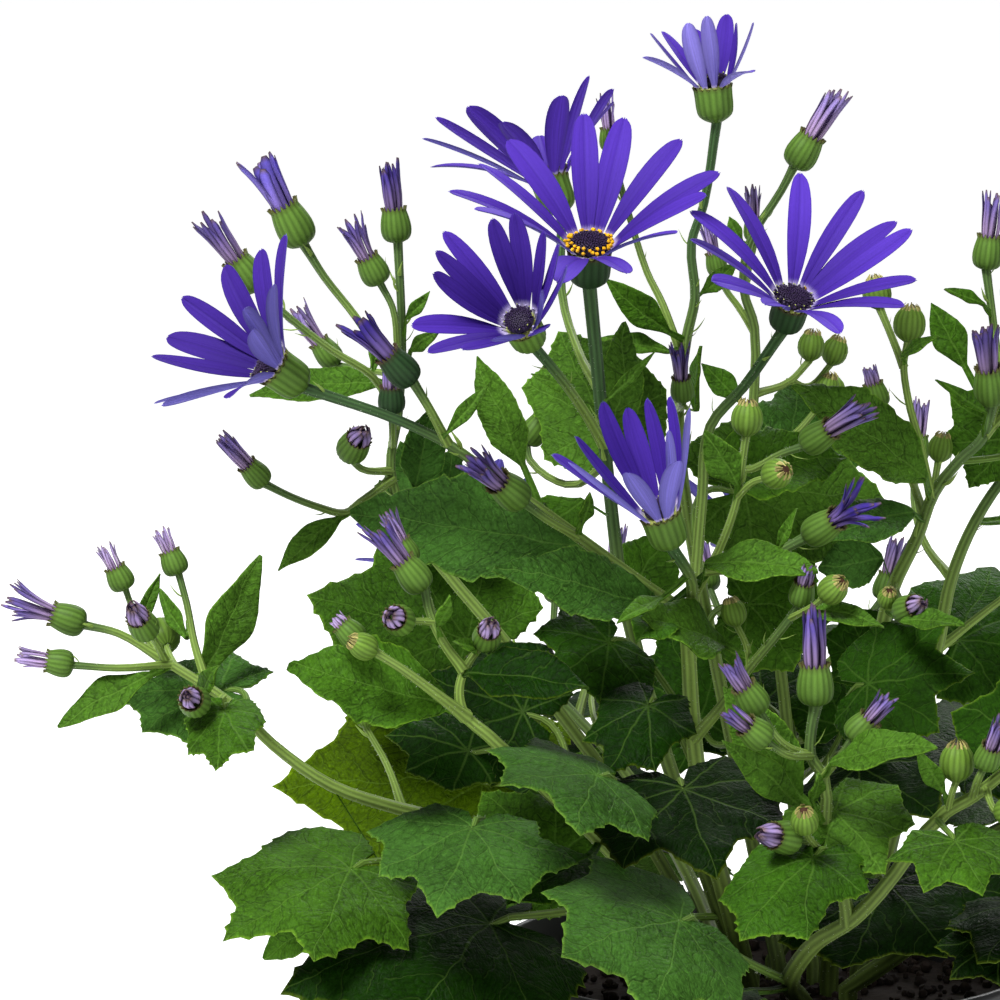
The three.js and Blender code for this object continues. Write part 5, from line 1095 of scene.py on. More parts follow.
def petal_material(name, line_strength, white_reach, middle_glow):
    """A ray floret: the grain is -1 to 1 across, 4 further for each petal, and the share of the length."""
    net = Net(name, 0.6, specular=0.06)
    part = net.math("FRACT", net.times(net.add(net.u, 2.0), 0.25))
    off = net.apart(net.times(part, 4.0), 2.0)
    streaks = net.noise(net.pair(net.times(net.u, 9.0), net.times(net.v, 0.8)), 1.0, 3.0)
    fold = net.fall(net.apart(off, PETAL_FOLD), 0.0, 0.1)
    middle = net.fall(off, 0.02, 0.15)
    # Lines along the middle groove and the two folds: darker on the upper side as painted shade in the
    # grooves, paler on the underside as painted light on its ridges.
    lines = net.math("MAXIMUM", net.times(fold, 0.6), middle)
    fine = net.noise(net.place, 1300.0, 2.0)
    shade = net.add(0.7, net.add(net.times(streaks, 0.42), net.times(fine, 0.14)))
    # Painted sheen: a paler band down the middle of the underside, strongest on the streaks.
    glow = net.times(net.less(0.6, net.times(off, off)), net.times(streaks, 2 * middle_glow))
    body = net.scaled(net.tint, net.less(net.add(shade, glow), net.times(lines, line_strength)))
    edge = net.step(off, 0.86, 1.0)
    body = net.mix(net.times(edge, 0.45), body, net.scaled(net.tint, 0.5))
    reach = net.add(net.times(streaks, 0.1), white_reach)
    white = net.fall(net.v, net.times(reach, 0.2), reach)
    net.bump(net.add(net.times(streaks, 0.8), net.times(lines, -0.6)), 0.35)
    return net.done(net.mix(net.times(white, 0.85), body, PETAL_BASE))


def plain_material(name, roughness, scale, depth, specular=0.4, strength=0.3):
    """A small piece whose tint is broken by noise."""
    net = Net(name, roughness, specular)
    noise = net.noise(net.place, scale, 3.0)
    net.bump(noise, strength)
    return net.done(net.scaled(net.tint, net.add(1 - depth / 2, net.times(noise, depth))))


MATERIALS = {
    "leaf": leaf_material("leaf_upper", UPPER_VEIN, 0.34, -1.0, 0.42, 0.045),
    "leaf_under": leaf_material("leaf_under", UNDER_VEIN, 0.4, 0.6, 0.7, 0.0),
    "stem": stem_material("stem", 0.5, STEM_RIDGES, 0.28, 0.6),
    "cup": stem_material("cup", 0.5, CUP_BRACTS, -0.1, 0.6),
    "petal": petal_material("petal_upper", 0.13, 0.07, 0.0),
    "petal_under": petal_material("petal_under", -0.16, 0.0, 0.42),
    "strap": stem_material("rolled_floret", 0.55, 2, -0.45),
    "floret": plain_material("disc_floret", 0.6, 2200.0, 0.7),
    "pollen": plain_material("pollen", 0.75, 2600.0, 0.4),
    "hair": plain_material("hair", 0.6, 900.0, 0.2),
    "pot": plain_material("pot_plastic", 0.42, 420.0, 0.35, strength=0.12),
    "soil": plain_material("soil", 0.95, 520.0, 0.9, specular=0.2, strength=0.8),
}


# Stems, cups and heads


def tube(skin, centres, radii, sides, slot, tint, ridges=0, depth=0.0, squash=1.0, first=None):
    """A tube along points, with lengthwise ridges and a flattened section if asked."""
    centres = np.asarray(centres, float)
    radii = np.broadcast_to(radii, len(centres))
    directions = np.gradient(centres, axis=0)
    directions /= np.linalg.norm(directions, axis=1)[:, None]
    u = any_across(directions[0]) if first is None else first
    frames = []
    for direction in directions:
        u, v = axes_across(direction, u)
        frames.append((u, v))
    frames = np.array(frames)
    angle = circle_angles(sides)
    shape = 1 + depth * np.cos(ridges * angle)
    outward = (
        (shape * np.cos(angle))[None, :, None] * frames[:, 0, None]
        + (squash * shape * np.sin(angle))[None, :, None] * frames[:, 1, None]
    )
    skin.wrap(centres[:, None] + radii[:, None, None] * outward, slot, tint)


def spun(origin, aim, heights, radii):
    """Rings round a head's aim, from arrays of heights and radii."""
    outward = around(*head_axes(aim), circle_angles(heights.shape[1]))
    return origin + heights[..., None] * aim + radii[..., None] * outward


def cup(skin, end, kind, size, aim, green, girth, fine):
    """The green cup of bracts under a head, with a groove between bracts and a brown point on each, and
    painted shade: darker at its foot, in the grooves and inside its mouth.
    """
    rings = CUP_RINGS if fine else PLAIN_CUP_RINGS
    profile = on_curve(CUPS[kind], np.linspace(0, len(CUPS[kind]) - 1, rings)) * size
    profile[:, 1] *= girth
    column = CUP_BRACTS * np.arange(CUP_COLUMNS) / CUP_COLUMNS
    wave = np.abs(np.sin(np.pi * column))
    share = np.linspace(0, 1, rings)[:, None]
    depth = GROOVE_DEPTH * (1 + random(np.round(column)))
    heights = np.tile(profile[:, :1], (1, CUP_COLUMNS))
    radii = profile[:, 1:] * (1 - depth * np.minimum(1, 3 * share) * (1 - wave) ** 2)
    own = 0.92 + 0.16 * random(np.floor(column) * 1.7 + size * 9 + aim[0] * 5)
    # Painted shade: darker towards the foot and in the grooves between bracts; own is each bract's own
    # tone.
    tints = green * (0.66 + 0.54 * share)[..., None] * ((0.8 + 0.26 * wave) * own)[:, None]
    if kind == "bud":
        tints[-1] = BRACT_TIP
        tints[-2] = green * 1.4
        bud_points(skin, end, size, aim)
    else:
        point = wave**3
        top, mouth = profile[-1]
        even = np.ones(CUP_COLUMNS)
        rises = [size * (0.1 + point), size * 1.1 * point, -1.5 * size * even]
        heights = np.vstack([heights, top + np.array(rises)])
        radii = np.vstack([radii, radii[-1] + 0.35 * size * point, radii[-1] * 0.92, 0.75 * mouth * even])
        tints[-1] = tints[-1] * 0.8 + BRACT_TIP * 0.2
        # The last ring runs down inside the mouth, darkened as painted shade.
        rim = np.array([BRACT_TIP * 0.6 + green * 0.4, BRACT_TIP * 0.9 + green * 0.2, green * 0.4])
        tints = np.concatenate([tints, np.repeat(rim[:, None], CUP_COLUMNS, axis=1)])
    skin.wrap(spun(end, aim, heights, radii), "cup", tints)


def bud_points(skin, end, size, aim):
    """The pale points of the bracts that close over a bud."""
    for i in range(BUD_POINTS):
        out = around(*head_axes(aim), 2 * np.pi * (i + 0.5 * random(i + end[0])) / BUD_POINTS)
        rise = 8.7 + 0.7 * random(i + end[1])
        spread = 0.7 + 0.9 * random(i + end[2])
        foot = end + (7.4 * aim + 2.4 * out) * size
        tip = end + (rise * aim + spread * out) * size
        path = [foot, (foot + tip) / 2 + 0.25 * out, tip]
        tint = BUD_POINT * (0.5 + 0.8 * random(i * 3 + end[0]))
        tube(skin, path, [0.42, 0.36, 0.12], 5, "stem", tint, squash=0.5, first=np.cross(aim, out))


def straps(skin, mouth, size, aim, seed, splay, darkness, tallness, girth, width):
    """The tuft of rolled ray florets, still short and close in on a head that nods towards the front."""
    young = aim[1] < NODDING
    wide = width > WIDE_STRAP
    brown_from = 0.6 if young else 0.875
    count = round(TUFT_STRAPS / max(1, width) ** 0.9)
    reach = min(girth, 1.1) * size * (1.16 if young else 1)
    body = STRAP_WIDE if wide else STRAP_PALE + (STRAP_DARK - STRAP_PALE) * darkness
    blue = 0.6 if wide else darkness**8 * 0.5
    base = STRAP_BASE * (1.1 - 0.5 * darkness) * (1 - blue) + body * blue
    tip = STRAP_TIP * (1.3 - 0.6 * darkness)
    share = np.linspace(0, 1, STRAP_RINGS)[:, None]
    widths = size * STRAP_RADIUS * width * np.interp(share[:, 0], *STRAP_FORM)
    for i in range(count):
        inner = i % 4 == 3
        out = around(*head_axes(aim), 2 * np.pi * (i + 0.5 * random(seed + i)) / count)
        length = TUFT_LENGTH * tallness * size * (0.8 + 0.36 * random(seed + i * 3.1))
        spread = (0.9 if inner else 1.95) * reach
        lean = (random(seed + i * 1.7) - 0.45) * 1.1 * size + splay * length * (0.5 if inner else 1)
        if young:
            lean = -0.5 * spread
        sweep = (random(seed + i * 2.3) - 0.5) * (1.6 * size + splay * 7)
        curl = np.cross(aim, out) * sweep
        path = [
            mouth - aim * 2.0 * size + out * spread * 0.8,
            mouth + aim * length * 0.3 + out * spread * 1.08,
            mouth + aim * length * 0.68 + out * (spread + lean * 0.45) + curl * 0.3,
            mouth + aim * length + out * (spread + lean) + curl,
        ]
        tint = base + (body - base) * np.clip(share * 1.9 - 0.45, 0, 1)
        tint = tint + (tip - body) * np.clip((share - brown_from) / (1 - brown_from), 0, 1)
        tint = tint * (0.7 + 0.55 * random(seed + i * 4.9))
        tube(
            skin, on_curve(path, share[:, 0] * 3), widths, 8, "strap", tint,
            ridges=2, depth=0.16, squash=0.5 / max(1, width) ** 1.5, first=np.cross(aim, out),
        )


def bracts(skin, path, radii, seed):
    """Small narrow bracts that stand off a stem, a few on each."""
    where = lengths_along(path)
    total = where[-1]
    for i in range(max(1, int(total / BRACT_SPACING))):
        spot = total * (0.25 + 0.7 * random(seed + i * 1.9))
        place = np.array([np.interp(spot, where, path[:, k]) for k in range(3)])
        j = min(int(np.searchsorted(where, spot, side="right")), len(path) - 1)
        direction = unit(path[j] - path[j - 1])
        u = any_across(direction)
        out = around(u, np.cross(direction, u), 2 * np.pi * random(seed + i * 3.3))
        length = BRACT_LENGTH * (0.5 + 0.9 * random(seed + i * 2.7))
        bow = np.cross(direction, out) * (random(seed + i) - 0.5) * length * 0.4
        start = place + out * np.interp(spot, where, radii) * 0.7
        middle = start + (0.5 * out + 0.5 * direction) * length * 0.5
        tip = start + (0.55 * out + 0.85 * direction) * length + bow
        centres = on_curve([start, middle, tip], np.linspace(0, 2, len(BRACT_FORM)))
        widths = BRACT_WIDTH * length**0.7 * BRACT_FORM
        tint = STEM_LIGHT * 1.25 * (0.8 + 0.4 * random(seed + i))
        tube(skin, centres, widths, 6, "stem", tint, squash=0.3, first=np.cross(direction, out))


def petal(skin, base, axes, length, halves, index, opening, seed, underside, depth):
    """One ray floret as a thin grooved blade with a blunt toothed tip."""
    along, side, up = axes
    s = PETAL_PLACES[:, None]
    cross = PETAL_ACROSS
    half = np.where(cross < 0, *halves) * PETAL_FORM[:, None]
    x = s * length - 0.02 * length * np.abs(np.sin(1.5 * np.pi * cross)) * np.clip(s * 12 - 11, 0, 1)
    y = cross * half
    swing = (random(seed) - 0.5) * 0.1 * length * s**2
    arch = 0.045 * np.clip((opening - 36) / 20, -1, 1)
    curl = (random(seed + 3.3) - 0.5) * 0.1
    z = length * (4 * arch * s * (1 - s) + curl * s**3)
    z = z + 0.17 * half * (cross**2 - 0.4)
    z = z + 0.1 * np.exp(-(((np.abs(cross) - PETAL_FOLD) / 0.1) ** 2))
    z = z - 0.1 * np.exp(-((cross / 0.14) ** 2))
    roll = (random(seed + 5.1) - 0.5) * 0.8 * np.clip(s, 0, 1)
    y, z = y * np.cos(roll), z + y * np.sin(roll)
    middle = base + x[..., None] * along + (y + swing)[..., None] * side + z[..., None] * up
    thick = 0.16 * np.ones_like(x)
    thick[:, 0] = thick[:, -1] = thick[-1] = 0.05
    over, below = middle + thick[..., None] * up, middle - thick[..., None] * up
    tone = 0.86 + 0.28 * random(seed + 7.7)
    shade = depth * (PETAL_DEEP + (PETAL - PETAL_DEEP) * np.clip(1.4 * s, 0, 1)) * tone
    grain = np.stack(np.broadcast_arrays(cross + 4 * index, s), axis=-1)
    sheet(skin, over, below, "petal", "petal_under", shade[:, None], underside * tone, grain)


def sheet(skin, upper, lower, upper_slot, lower_slot, upper_tint, lower_tint, grain):
    """A thin closed plate between two grids of points; its grain is one pair for each point."""
    rows, cols = upper.shape[:2]
    count = rows * cols
    grain = grain.reshape(-1, 2)
    upper_tint = np.broadcast_to(upper_tint, upper.shape).reshape(-1, 3)
    index = np.arange(count).reshape(rows, cols)
    quads = np.stack([index[:-1, :-1], index[:-1, 1:], index[1:, 1:], index[1:, :-1]], axis=-1)
    quads = quads.reshape(-1, 4)
    rim = np.concatenate([index[0, :-1], index[:-1, -1], index[-1, :0:-1], index[:0:-1, 0]])
    after = np.roll(rim, -1)
    walls = np.stack([after, after + count, rim + count, rim], axis=-1)
    both = np.concatenate([upper.reshape(-1, 3), lower.reshape(-1, 3)])
    skin.add(upper, quads[:, ::-1], upper_slot, upper_tint, grain)
    skin.add(lower, quads, lower_slot, lower_tint, grain)
    skin.add(both, walls, lower_slot, lower_tint, np.concatenate([grain, grain]))


def bloom(end, size, aim, name):
    """The ray florets of an open bloom, and its disc."""
    number = int(name.split("_")[1])
    mouth = end + aim * (CUPS["bloom"][-1][0] * size + GAP)
    centre = mouth + aim * HUB_THICKNESS / 2
    rays = Skin()
    rows = PETALS[name]
    wide = PETAL_HALF_WIDTH * size * PETAL_WIDTHS.get(name, 1.0)
    # Painted shade that darkens this bloom's petals
    depth = PETAL_PAINTED_SHADE.get(name, 1.0)
    for i, (azimuth, opening, length) in enumerate(rows):
        before = rows[i - 1][0] - (360 if i == 0 else 0)
        after = rows[(i + 1) % len(rows)][0] + (360 if i + 1 == len(rows) else 0)
        out = around(*head_axes(aim), math.radians(azimuth))
        lean = math.radians(opening)
        along = aim * math.cos(lean) + out * math.sin(lean)
        up = aim * math.sin(lean) - out * math.cos(lean)
        base = centre + out * PETAL_RING_RADIUS * size
        radius = PETAL_RING_RADIUS * size + PETAL_WIDEST * length * math.sin(lean)
        own = wide * (0.88 + 0.24 * random(number + i * 2.2))
        gaps = (azimuth - before, after - azimuth)
        halves = [min(own, radius * math.tan(math.radians(SECTOR * gap))) for gap in gaps]
        lift = up * 0.25 * (i % 2)
        under = PETAL_UNDER if (name, i) in SLATE_PETALS else UNDERSIDES.get(name, PETAL_UNDER)
        axes = (along, np.cross(up, along), up)
        petal(rays, base + lift, axes, length, halves, i, opening, number * 17 + i, under, depth)
        claw = [centre + out * 2.6 * size, base - along * 0.6 + lift, base + along * 1.6 + up * 0.35 + lift]
        tube(rays, claw, [0.5, 0.55, 0.25], 6, "floret", [CLAW * 0.7, CLAW * 0.8, CLAW_TIP])
    heights, shares = np.array([[0, 0, 0.5, 0.5], [0.3, 1, 1, 0.3]])[..., None] * np.ones(HUB_SIDES)
    hub = spun(mouth, aim, heights * HUB_THICKNESS, shares * HUB_RADIUS * size)
    rays.wrap(hub, "floret", CLAW * 0.5)
    rays.object(name + "_petals_fine", [name + "_petals"], "petal")
    steep = min(opening for _, opening, _ in rows) <= STEEP_OPENING
    disc(mouth, size, aim, number, steep).object(name + "_disc_fine", [name + "_disc"], "disc")


def disc(mouth, size, aim, number, steep):
    """A dome of closed florets with open ones round its rim, ringed by pollen on the first bloom."""
    skin = Skin()
    axes = head_axes(aim)
    reach = (STEEP_DISC_RADIUS if steep else DISC_RADIUS) * size
    foot = mouth + aim * HUB_THICKNESS * 0.6
    heights, shares = DISC_PROFILE.T[..., None] * np.ones(DISC_SIDES)
    skin.wrap(spun(foot, aim, heights * size, shares * reach), "floret", FLORET * 0.6)
    count = FLORETS if number < FIRST_PLAIN_BLOOM else PLAIN_FLORETS
    for i in range(count):
        share = math.sqrt((i + 0.5) / count)
        out = around(*axes, i * GOLDEN_ANGLE)
        height = np.interp(share, *DISC_DOME) * size
        top = foot + aim * (height + 0.3 + 0.25 * random(i + number)) + out * share * reach
        lean = unit(aim + out * 0.7 * share**2)
        bead(skin, top, lean, 0.3 * size, "floret", FLORET * (0.8 + 0.5 * random(i)))
    for ring, (count, spread, height) in enumerate(STEEP_RINGS if steep else OPEN_RINGS):
        for i in range(count):
            out = around(*axes, 2 * np.pi * (i + 0.5 * ring + 0.5 * random(i * 3 + ring + number)) / count)
            rise = (height + 0.7 * random(i + 5.0)) * size
            place = foot + aim * rise + out * reach * (spread + 0.1 * (random(i * 7.0 + number) - 0.5))
            lean = unit(aim + out * 0.9)
            tube(skin, [place - lean * 1.7 * size, place], [0.22, 0.3], 5, "floret", FLORET * 1.1)
            grained = number == 1 or (number == 5 and i == 3 and ring == 1)
            slot, tint, radius = ("pollen", POLLEN, 0.5) if grained else ("floret", FLORET, 0.42)
            bead(skin, place, lean, radius * size, slot, tint * (0.75 + 0.4 * random(i * 2.0)))
            if not grained and i % 2:
                bead(skin, place + lean * 0.5, lean, 0.2 * size, "pollen", CLAW)
    return skin


def bead(skin, place, direction, radius, slot, tint):
    """A small round grain or floret tip."""
    u = any_across(direction)
    outward = around(u, np.cross(direction, u), circle_angles(5))
    rises, reaches = BEAD_FORM.T[..., None, None] * radius
    skin.wrap(place + rises * direction + reaches * outward, slot, tint)


def hairs(skin, centres, radii, spacing, length, seed):
    """Fine hairs standing out of a stem."""
    where = lengths_along(centres)
    count = int(where[-1] / spacing)
    if not count:
        return
    hair = np.arange(count)
    spots = where[-1] * random(seed + hair * 1.37)
    points = np.stack([np.interp(spots, where, centres[:, k]) for k in range(3)], axis=-1)
    thick = np.interp(spots, where, np.broadcast_to(radii, len(centres)))
    stretch = np.minimum(np.searchsorted(where, spots, side="right") - 1, len(centres) - 2)
    along = (np.diff(centres, axis=0) / np.diff(where)[:, None])[stretch]
    loose = np.stack([random(seed + k + hair * 2.71) - 0.5 for k in (11, 23, 37)], axis=-1)
    outward = np.cross(along, loose)
    outward /= np.linalg.norm(outward, axis=1)[:, None]
    needle = outward + 0.5 * loose
    reach = length * (0.5 + random(seed + 5 + hair * 3.9))[:, None]
    roots = points + outward * thick[:, None] * 0.9
    side = np.cross(outward, along)
    corners = [roots + HAIR_RADIUS * (math.cos(a) * side + math.sin(a) * along) for a in (0.0, 2.1, 4.2)]
    points = np.stack([*corners, roots + needle * reach], axis=1)
    sides = np.array([[0, 1, 3], [1, 2, 3], [2, 0, 3], [0, 2, 1]])
    faces = (4 * hair[:, None] + sides[:, None]).reshape(-1, 3)
    skin.add(points, faces, "hair", HAIR, np.zeros((4 * count, 2)))


# Leaves


def blade_axes(base, tip, face):
    """A blade's length, and the unit axes along it and up from it."""
    along = tip - base
    length = np.linalg.norm(along)
    along /= length
    return length, along, unit(face - along * np.dot(face, along))


def pale_side(tone):
    """The paler colour of a leaf's lower side."""
    return UNDERSIDE * 0.5 + tone * 0.6


def long_leaf(skin, kind, root, base, tip, face, width, bend, tone, seed, fine):
    """A lance or oval leaf: a petiole that widens into a toothed blade with a midrib."""
    length, along, up = blade_axes(base, tip, face)
    side = np.cross(along, up)
    outline = np.array(BLADE_OUTLINES[kind])
    s = np.linspace(0, 1, BLADE_ROWS[kind if fine else "lance"])
    wide = on_curve(outline, np.interp(s, outline[:, 0], np.arange(len(outline))))[:, 1]
    inside = (s > 0.15) * (s < 0.97)
    wide = wide + BLADE_TEETH[kind] * ((s * 11) % 1 - 0.5) * inside
    if width > WAVY_BLADE:
        wide = wide + 0.13 * (0.5 - (s * 4.4 + random(seed)) % 1) * inside
    half = np.maximum(wide * width / 2, 0.12)
    centre = base + length * s[:, None] * along + (bend * length * s * (1 - s))[:, None] * up
    stalk = on_curve([root, (root + base) / 2 - up * 0.4, base], np.linspace(0, 2, STALK_RINGS)[:-1])
    centre = np.concatenate([stalk, centre])
    half = np.concatenate([np.linspace(1.0, half[0], STALK_RINGS)[:-1], half])
    s = np.concatenate([np.linspace(-0.15, 0, STALK_RINGS)[:-1], s])[:, None]
    across = BLADE_ACROSS * half[:, None]
    off = np.abs(across)
    wave = np.sin(s * 13 + seed + np.sign(BLADE_ACROSS) * 1.3) * BLADE_ACROSS**2 * (s > 0)
    z = 0.16 * off + 0.06 * width * wave - 0.2 * np.exp(-((off / 0.7) ** 2)) * (s > 0.02)
    middle = centre[:, None] + across[..., None] * side + z[..., None] * up
    thick = np.full(off.shape, BLADE_THICKNESS / 2)
    thick[:, [0, -1]] = RIM_THICKNESS / 2
    keel = 0.9 * np.exp(-((off / 0.6) ** 2)) * np.interp(s, [-0.15, 0.1, 1], [0.8, 0.8, 0.1])
    upper = middle + thick[..., None] * up
    lower = middle - (thick + keel)[..., None] * up
    tint = np.ones((*off.shape, 1)) * tone
    # Paler, yellower rim: the pale margin and painted light shining through the thin edge
    tint[:, [0, -1]] = tint[:, [0, -1]] * RIM_BRIGHTNESS + EDGE_GLOW
    grain = np.stack(np.broadcast_arrays(s * length, across), axis=-1)
    sheet(skin, upper, lower, "leaf", "leaf_under", tint, pale_side(tone), grain)


def lobed_outline(length, spread, seed):
    """Half of a leaf's rim in its own plane, how far its teeth stand off it, and the veins that feed it."""
    half = []
    for i, (angle, reach) in enumerate(LOBED_OUTLINE):
        a = math.radians(angle + (9 * (random(seed + i * 3.1) - 0.5) if i else 0))
        loose = 0.22 if i % 2 else 0.12
        reach = reach * (1 + (loose * (random(seed + i * 5.7) - 0.5) if i else 0))
        half.append([length * reach * math.cos(a), length * reach * math.sin(a) * spread])
    half = np.array(half + [[-NOTCH * length, NOTCH_HALF_WIDTH]])
    points, teeth, veins = [], [], []
    for i in range(len(half) - 1):
        a, b = half[i], half[i + 1]
        normal = unit([b[1] - a[1], a[0] - b[0]])
        edge = EDGE if i % 2 == 0 else [(1 - t, out) for t, out in EDGE[::-1]]
        points.append(a)
        teeth.append(0 * a)
        veins.append(STRETCH_VEINS[i])
        for j, (t, out) in enumerate(edge):
            plain = 0 if i == len(half) - 2 else 0.2 + 0.8 * random(seed + i * 1.3 + j * 2.1)
            points.append(a + (b - a) * t)
            teeth.append(normal * out * length * plain)
            veins.append(STRETCH_VEINS[i])
    points.append(half[-1])
    teeth.append(0 * half[-1])
    return np.array(points), np.array(teeth), np.array(veins)


def lobed_heights(flat, off, length, width, spread, bend, seed):
    """How far a blade stands off its own plane, from its arch, the creases of its veins and its puckers."""
    far = np.hypot(flat[..., 0], flat[..., 1] / spread) / length
    z = bend * (flat[..., 0] - length * far**2)
    z = z - 0.005 * width * np.exp(-((off / (0.035 * width)) ** 2)) * far * (1.2 - far)
    for share, wave in PUCKERS:
        ahead, across = (2 * np.pi * flat[..., k] / (wave * width) for k in (0, 1))
        swell = np.sin(ahead + 0.5 * across + seed) * np.cos(across - 0.4 * ahead + 2 * seed)
        z = z + share * width * far * swell
    turn = np.arctan2(flat[..., 1], flat[..., 0] + 0.2 * length)
    return z + 0.02 * width * np.sin(6 * turn + seed) * far**3


def petiole(skin, root, base, along, up, length, width, tone, seed):
    """The ridged stalk of a lobed leaf, which comes in at the blade's notch and runs on under it."""
    notch = base - along * NOTCH * length
    reach_back = min(0.4 * length, 0.5 * np.linalg.norm(root - notch))
    drop = 0.45 * np.dot(root - base, up)
    control = notch - along * reach_back + up * drop
    share = np.linspace(0, 1, 9)[:, None]
    stalk = notch * (1 - share) ** 2 + control * 2 * share * (1 - share) + root * share**2
    stalk = np.concatenate([[base + along * 0.12 * length - up * 0.5, base - up * 0.55], stalk])
    radius = (0.62 + 0.008 * width) * np.concatenate([[0.3, 0.6], 0.8 + 0.25 * share[:, 0]])
    tube(skin, stalk, radius, 9, "stem", STEM_LIGHT * 0.45 + tone * 0.6, ridges=3, depth=0.1)
    hairs(skin, stalk, radius, STALK_HAIR_SPACING, STALK_HAIR_LENGTH, seed)


def lobed_leaf(skin, root, base, tip, face, width, bend, tone, seed, fine):
    """A palmate leaf: an arched, puckered blade round the end of its stalk."""
    length, along, up = blade_axes(base, tip, face)
    spread = width / (LOBED_WIDTH * length)
    half, teeth, veins = lobed_outline(length, spread, seed)
    others = [part[1:][::-1] * [1, -1] for part in lobed_outline(length, spread, seed + 50)[:2]]
    rim = np.concatenate([half, others[0]])
    teeth = np.concatenate([teeth, others[1]])
    cols = len(rim)
    rows = WIDE_LOBED_ROWS if width > WIDE_LOBED else LOBED_ROWS
    if not fine:
        rows = PLAIN_LOBED_ROWS
    t = np.linspace(0, 1, rows)[1:-1, None] ** 0.85
    t = np.concatenate([t, [[0.975], [1.0]]])
    flat = t[..., None] * rim + (np.clip(t * 5 - 4, 0, 1) ** 2)[..., None] * teeth
    plane = np.concatenate([[[0.0, 0.0]], flat.reshape(-1, 2)])

    # The main vein that each column belongs to, on one side of the leaf and then the other
    angles = [math.radians(angle) for angle in VEIN_ANGLES]
    directions = [unit([math.cos(a), sign * math.sin(a) * spread]) for sign in (1, -1) for a in angles]
    own = np.array(directions)[np.concatenate([veins, [len(angles) - 1], len(angles) + veins[::-1]])]

    off = np.abs(flat[..., 0] * own[:, 1] - flat[..., 1] * own[:, 0])
    z = lobed_heights(flat, off, length, width, spread, bend, seed)
    middle = base + flat[..., :1] * along + flat[..., 1:] * np.cross(up, along) + z[..., None] * up
    middle = np.concatenate([[base - up * 0.3], middle.reshape(-1, 3)])
    thick = np.full(len(middle), BLADE_THICKNESS / 2)
    thick[-cols:] = RIM_THICKNESS / 2
    upper = middle + thick[:, None] * up
    lower = middle - thick[:, None] * up
    index = 1 + np.arange(rows * cols).reshape(rows, cols)
    right = np.roll(index, -1, axis=1)
    quads = np.stack([index[:-1], index[1:], right[1:], right[:-1]], axis=-1).reshape(-1, 4)
    fan = np.stack([np.zeros(cols, int), index[0], right[0]], axis=-1)
    tint = np.tile(tone, (len(middle), 1))
    # Paler, yellower rim: the pale margin and painted light shining through the thin edge
    tint[-cols:] = tint[-cols:] * RIM_BRIGHTNESS + EDGE_GLOW
    for faces, owners in ((quads, np.tile(own, (rows - 1, 1))), (fan, own)):
        spots = plane[faces]
        owners = owners[:, None]
        ahead = (spots * owners).sum(-1)
        beside = spots[..., 0] * owners[..., 1] - spots[..., 1] * owners[..., 0]
        grain = np.stack([ahead, beside], axis=-1)
        skin.add(upper, faces, "leaf", tint, grain)
        skin.add(lower, faces[:, ::-1], "leaf_under", pale_side(tone), grain[:, ::-1])
    last, after = index[-1], right[-1]
    walls = np.stack([last, last + len(middle), after + len(middle), after], axis=-1)
    both = np.concatenate([upper, lower])
    skin.add(both, walls, "leaf", tint[-1], np.zeros((len(both), 2)))
    petiole(skin, root, base, along, up, length, width, tone, seed)


# The whole plant


def grow_stem(skin, path, ends, rooted, head, seed, fine):
    """One stem with its hairs, down into the soil if it is rooted, and with bracts if it bears a head."""
    foot_radius, end_radius = ends
    stretches = len(path) - 1
    places = np.linspace(0, stretches, stretches * STEM_STEPS + 1)
    centres = on_curve(path, places)
    radii = foot_radius + (end_radius - foot_radius) * (places / stretches) ** 0.7
    if rooted:
        foot = path[0] - UP * (path[0][2] - SOIL_TOP + ROOT_DEPTH)
        centres = np.vstack([foot, centres])
        radii = np.concatenate([[foot_radius], radii])
    else:
        radii = radii * (1 + FORK_SWELL * np.exp(-places * 3))
    darkness = 0.0
    if head:
        kind, size, aim = head[:3]
        darkness = HEAD_DARKNESS[kind]
        radii = radii * (1 + HEAD_SWELL * size * np.exp((np.arange(len(radii)) + 1 - len(radii)) * 0.5))
        radii = np.concatenate([radii, [radii[-1] * 1.1]])
        centres = np.vstack([centres, path[-1] + unit(aim) * 1.4 * size])
    share = np.linspace(0, 1, len(centres))[:, None]
    dusk = np.clip(share * 1.5, 0, 1) * (0.4 + 0.6 * np.clip(2.5 * share - 1, 0, 1))
    light = np.interp(centres[:, 2], SHADE_HEIGHTS, [0.3, 1.0])[:, None]
    tint = STEM_LIGHT + (STEM_DARK - STEM_LIGHT) * darkness * dusk
    tint = tint * (0.9 + 0.2 * random(seed)) * light
    tube(skin, centres, radii, STEM_SIDES, "stem", tint, ridges=STEM_RIDGES, depth=RIDGE_DEPTH)
    hairs(skin, centres, radii, HAIR_SPACING * (1 if fine else 2), HAIR_LENGTH, seed)
    if head:
        bracts(skin, centres[STEM_STEPS:], radii[STEM_STEPS:], seed)


def grow_head(skin, stem, head, end, seed, fine):
    """The cup of a head and its bloom or tuft, of which the larger are pieces of their own."""
    kind, size, aim = head[0], head[1], unit(head[2])
    green = BUD_GREEN if kind == "bud" else CUP_GREEN
    if stem in DARK_CUPS:
        green = CUP_DARK
    looks = TUFT_LOOKS.get(stem, PLAIN_TUFT)
    cup(skin, end, kind, size, aim, green, looks[3] if kind == "tuft" else 1.0, fine)
    mouth = end + aim * CUPS[kind][-1][0] * size
    if kind == "bloom":
        bloom(end, size, aim, head[3])
    elif stem in OWN_TUFTS:
        tuft = Skin()
        straps(tuft, mouth, size, aim, seed, *looks)
        tuft.object(stem + "_tuft_fine", [stem + "_tuft"], "petal")
    elif kind == "tuft":
        straps(skin, mouth, size, aim, seed, *looks)


def spot_on(path, at):
    """The point a share of the way along the curve through a path."""
    return on_curve(path, [at * (len(path) - 1)])[0]


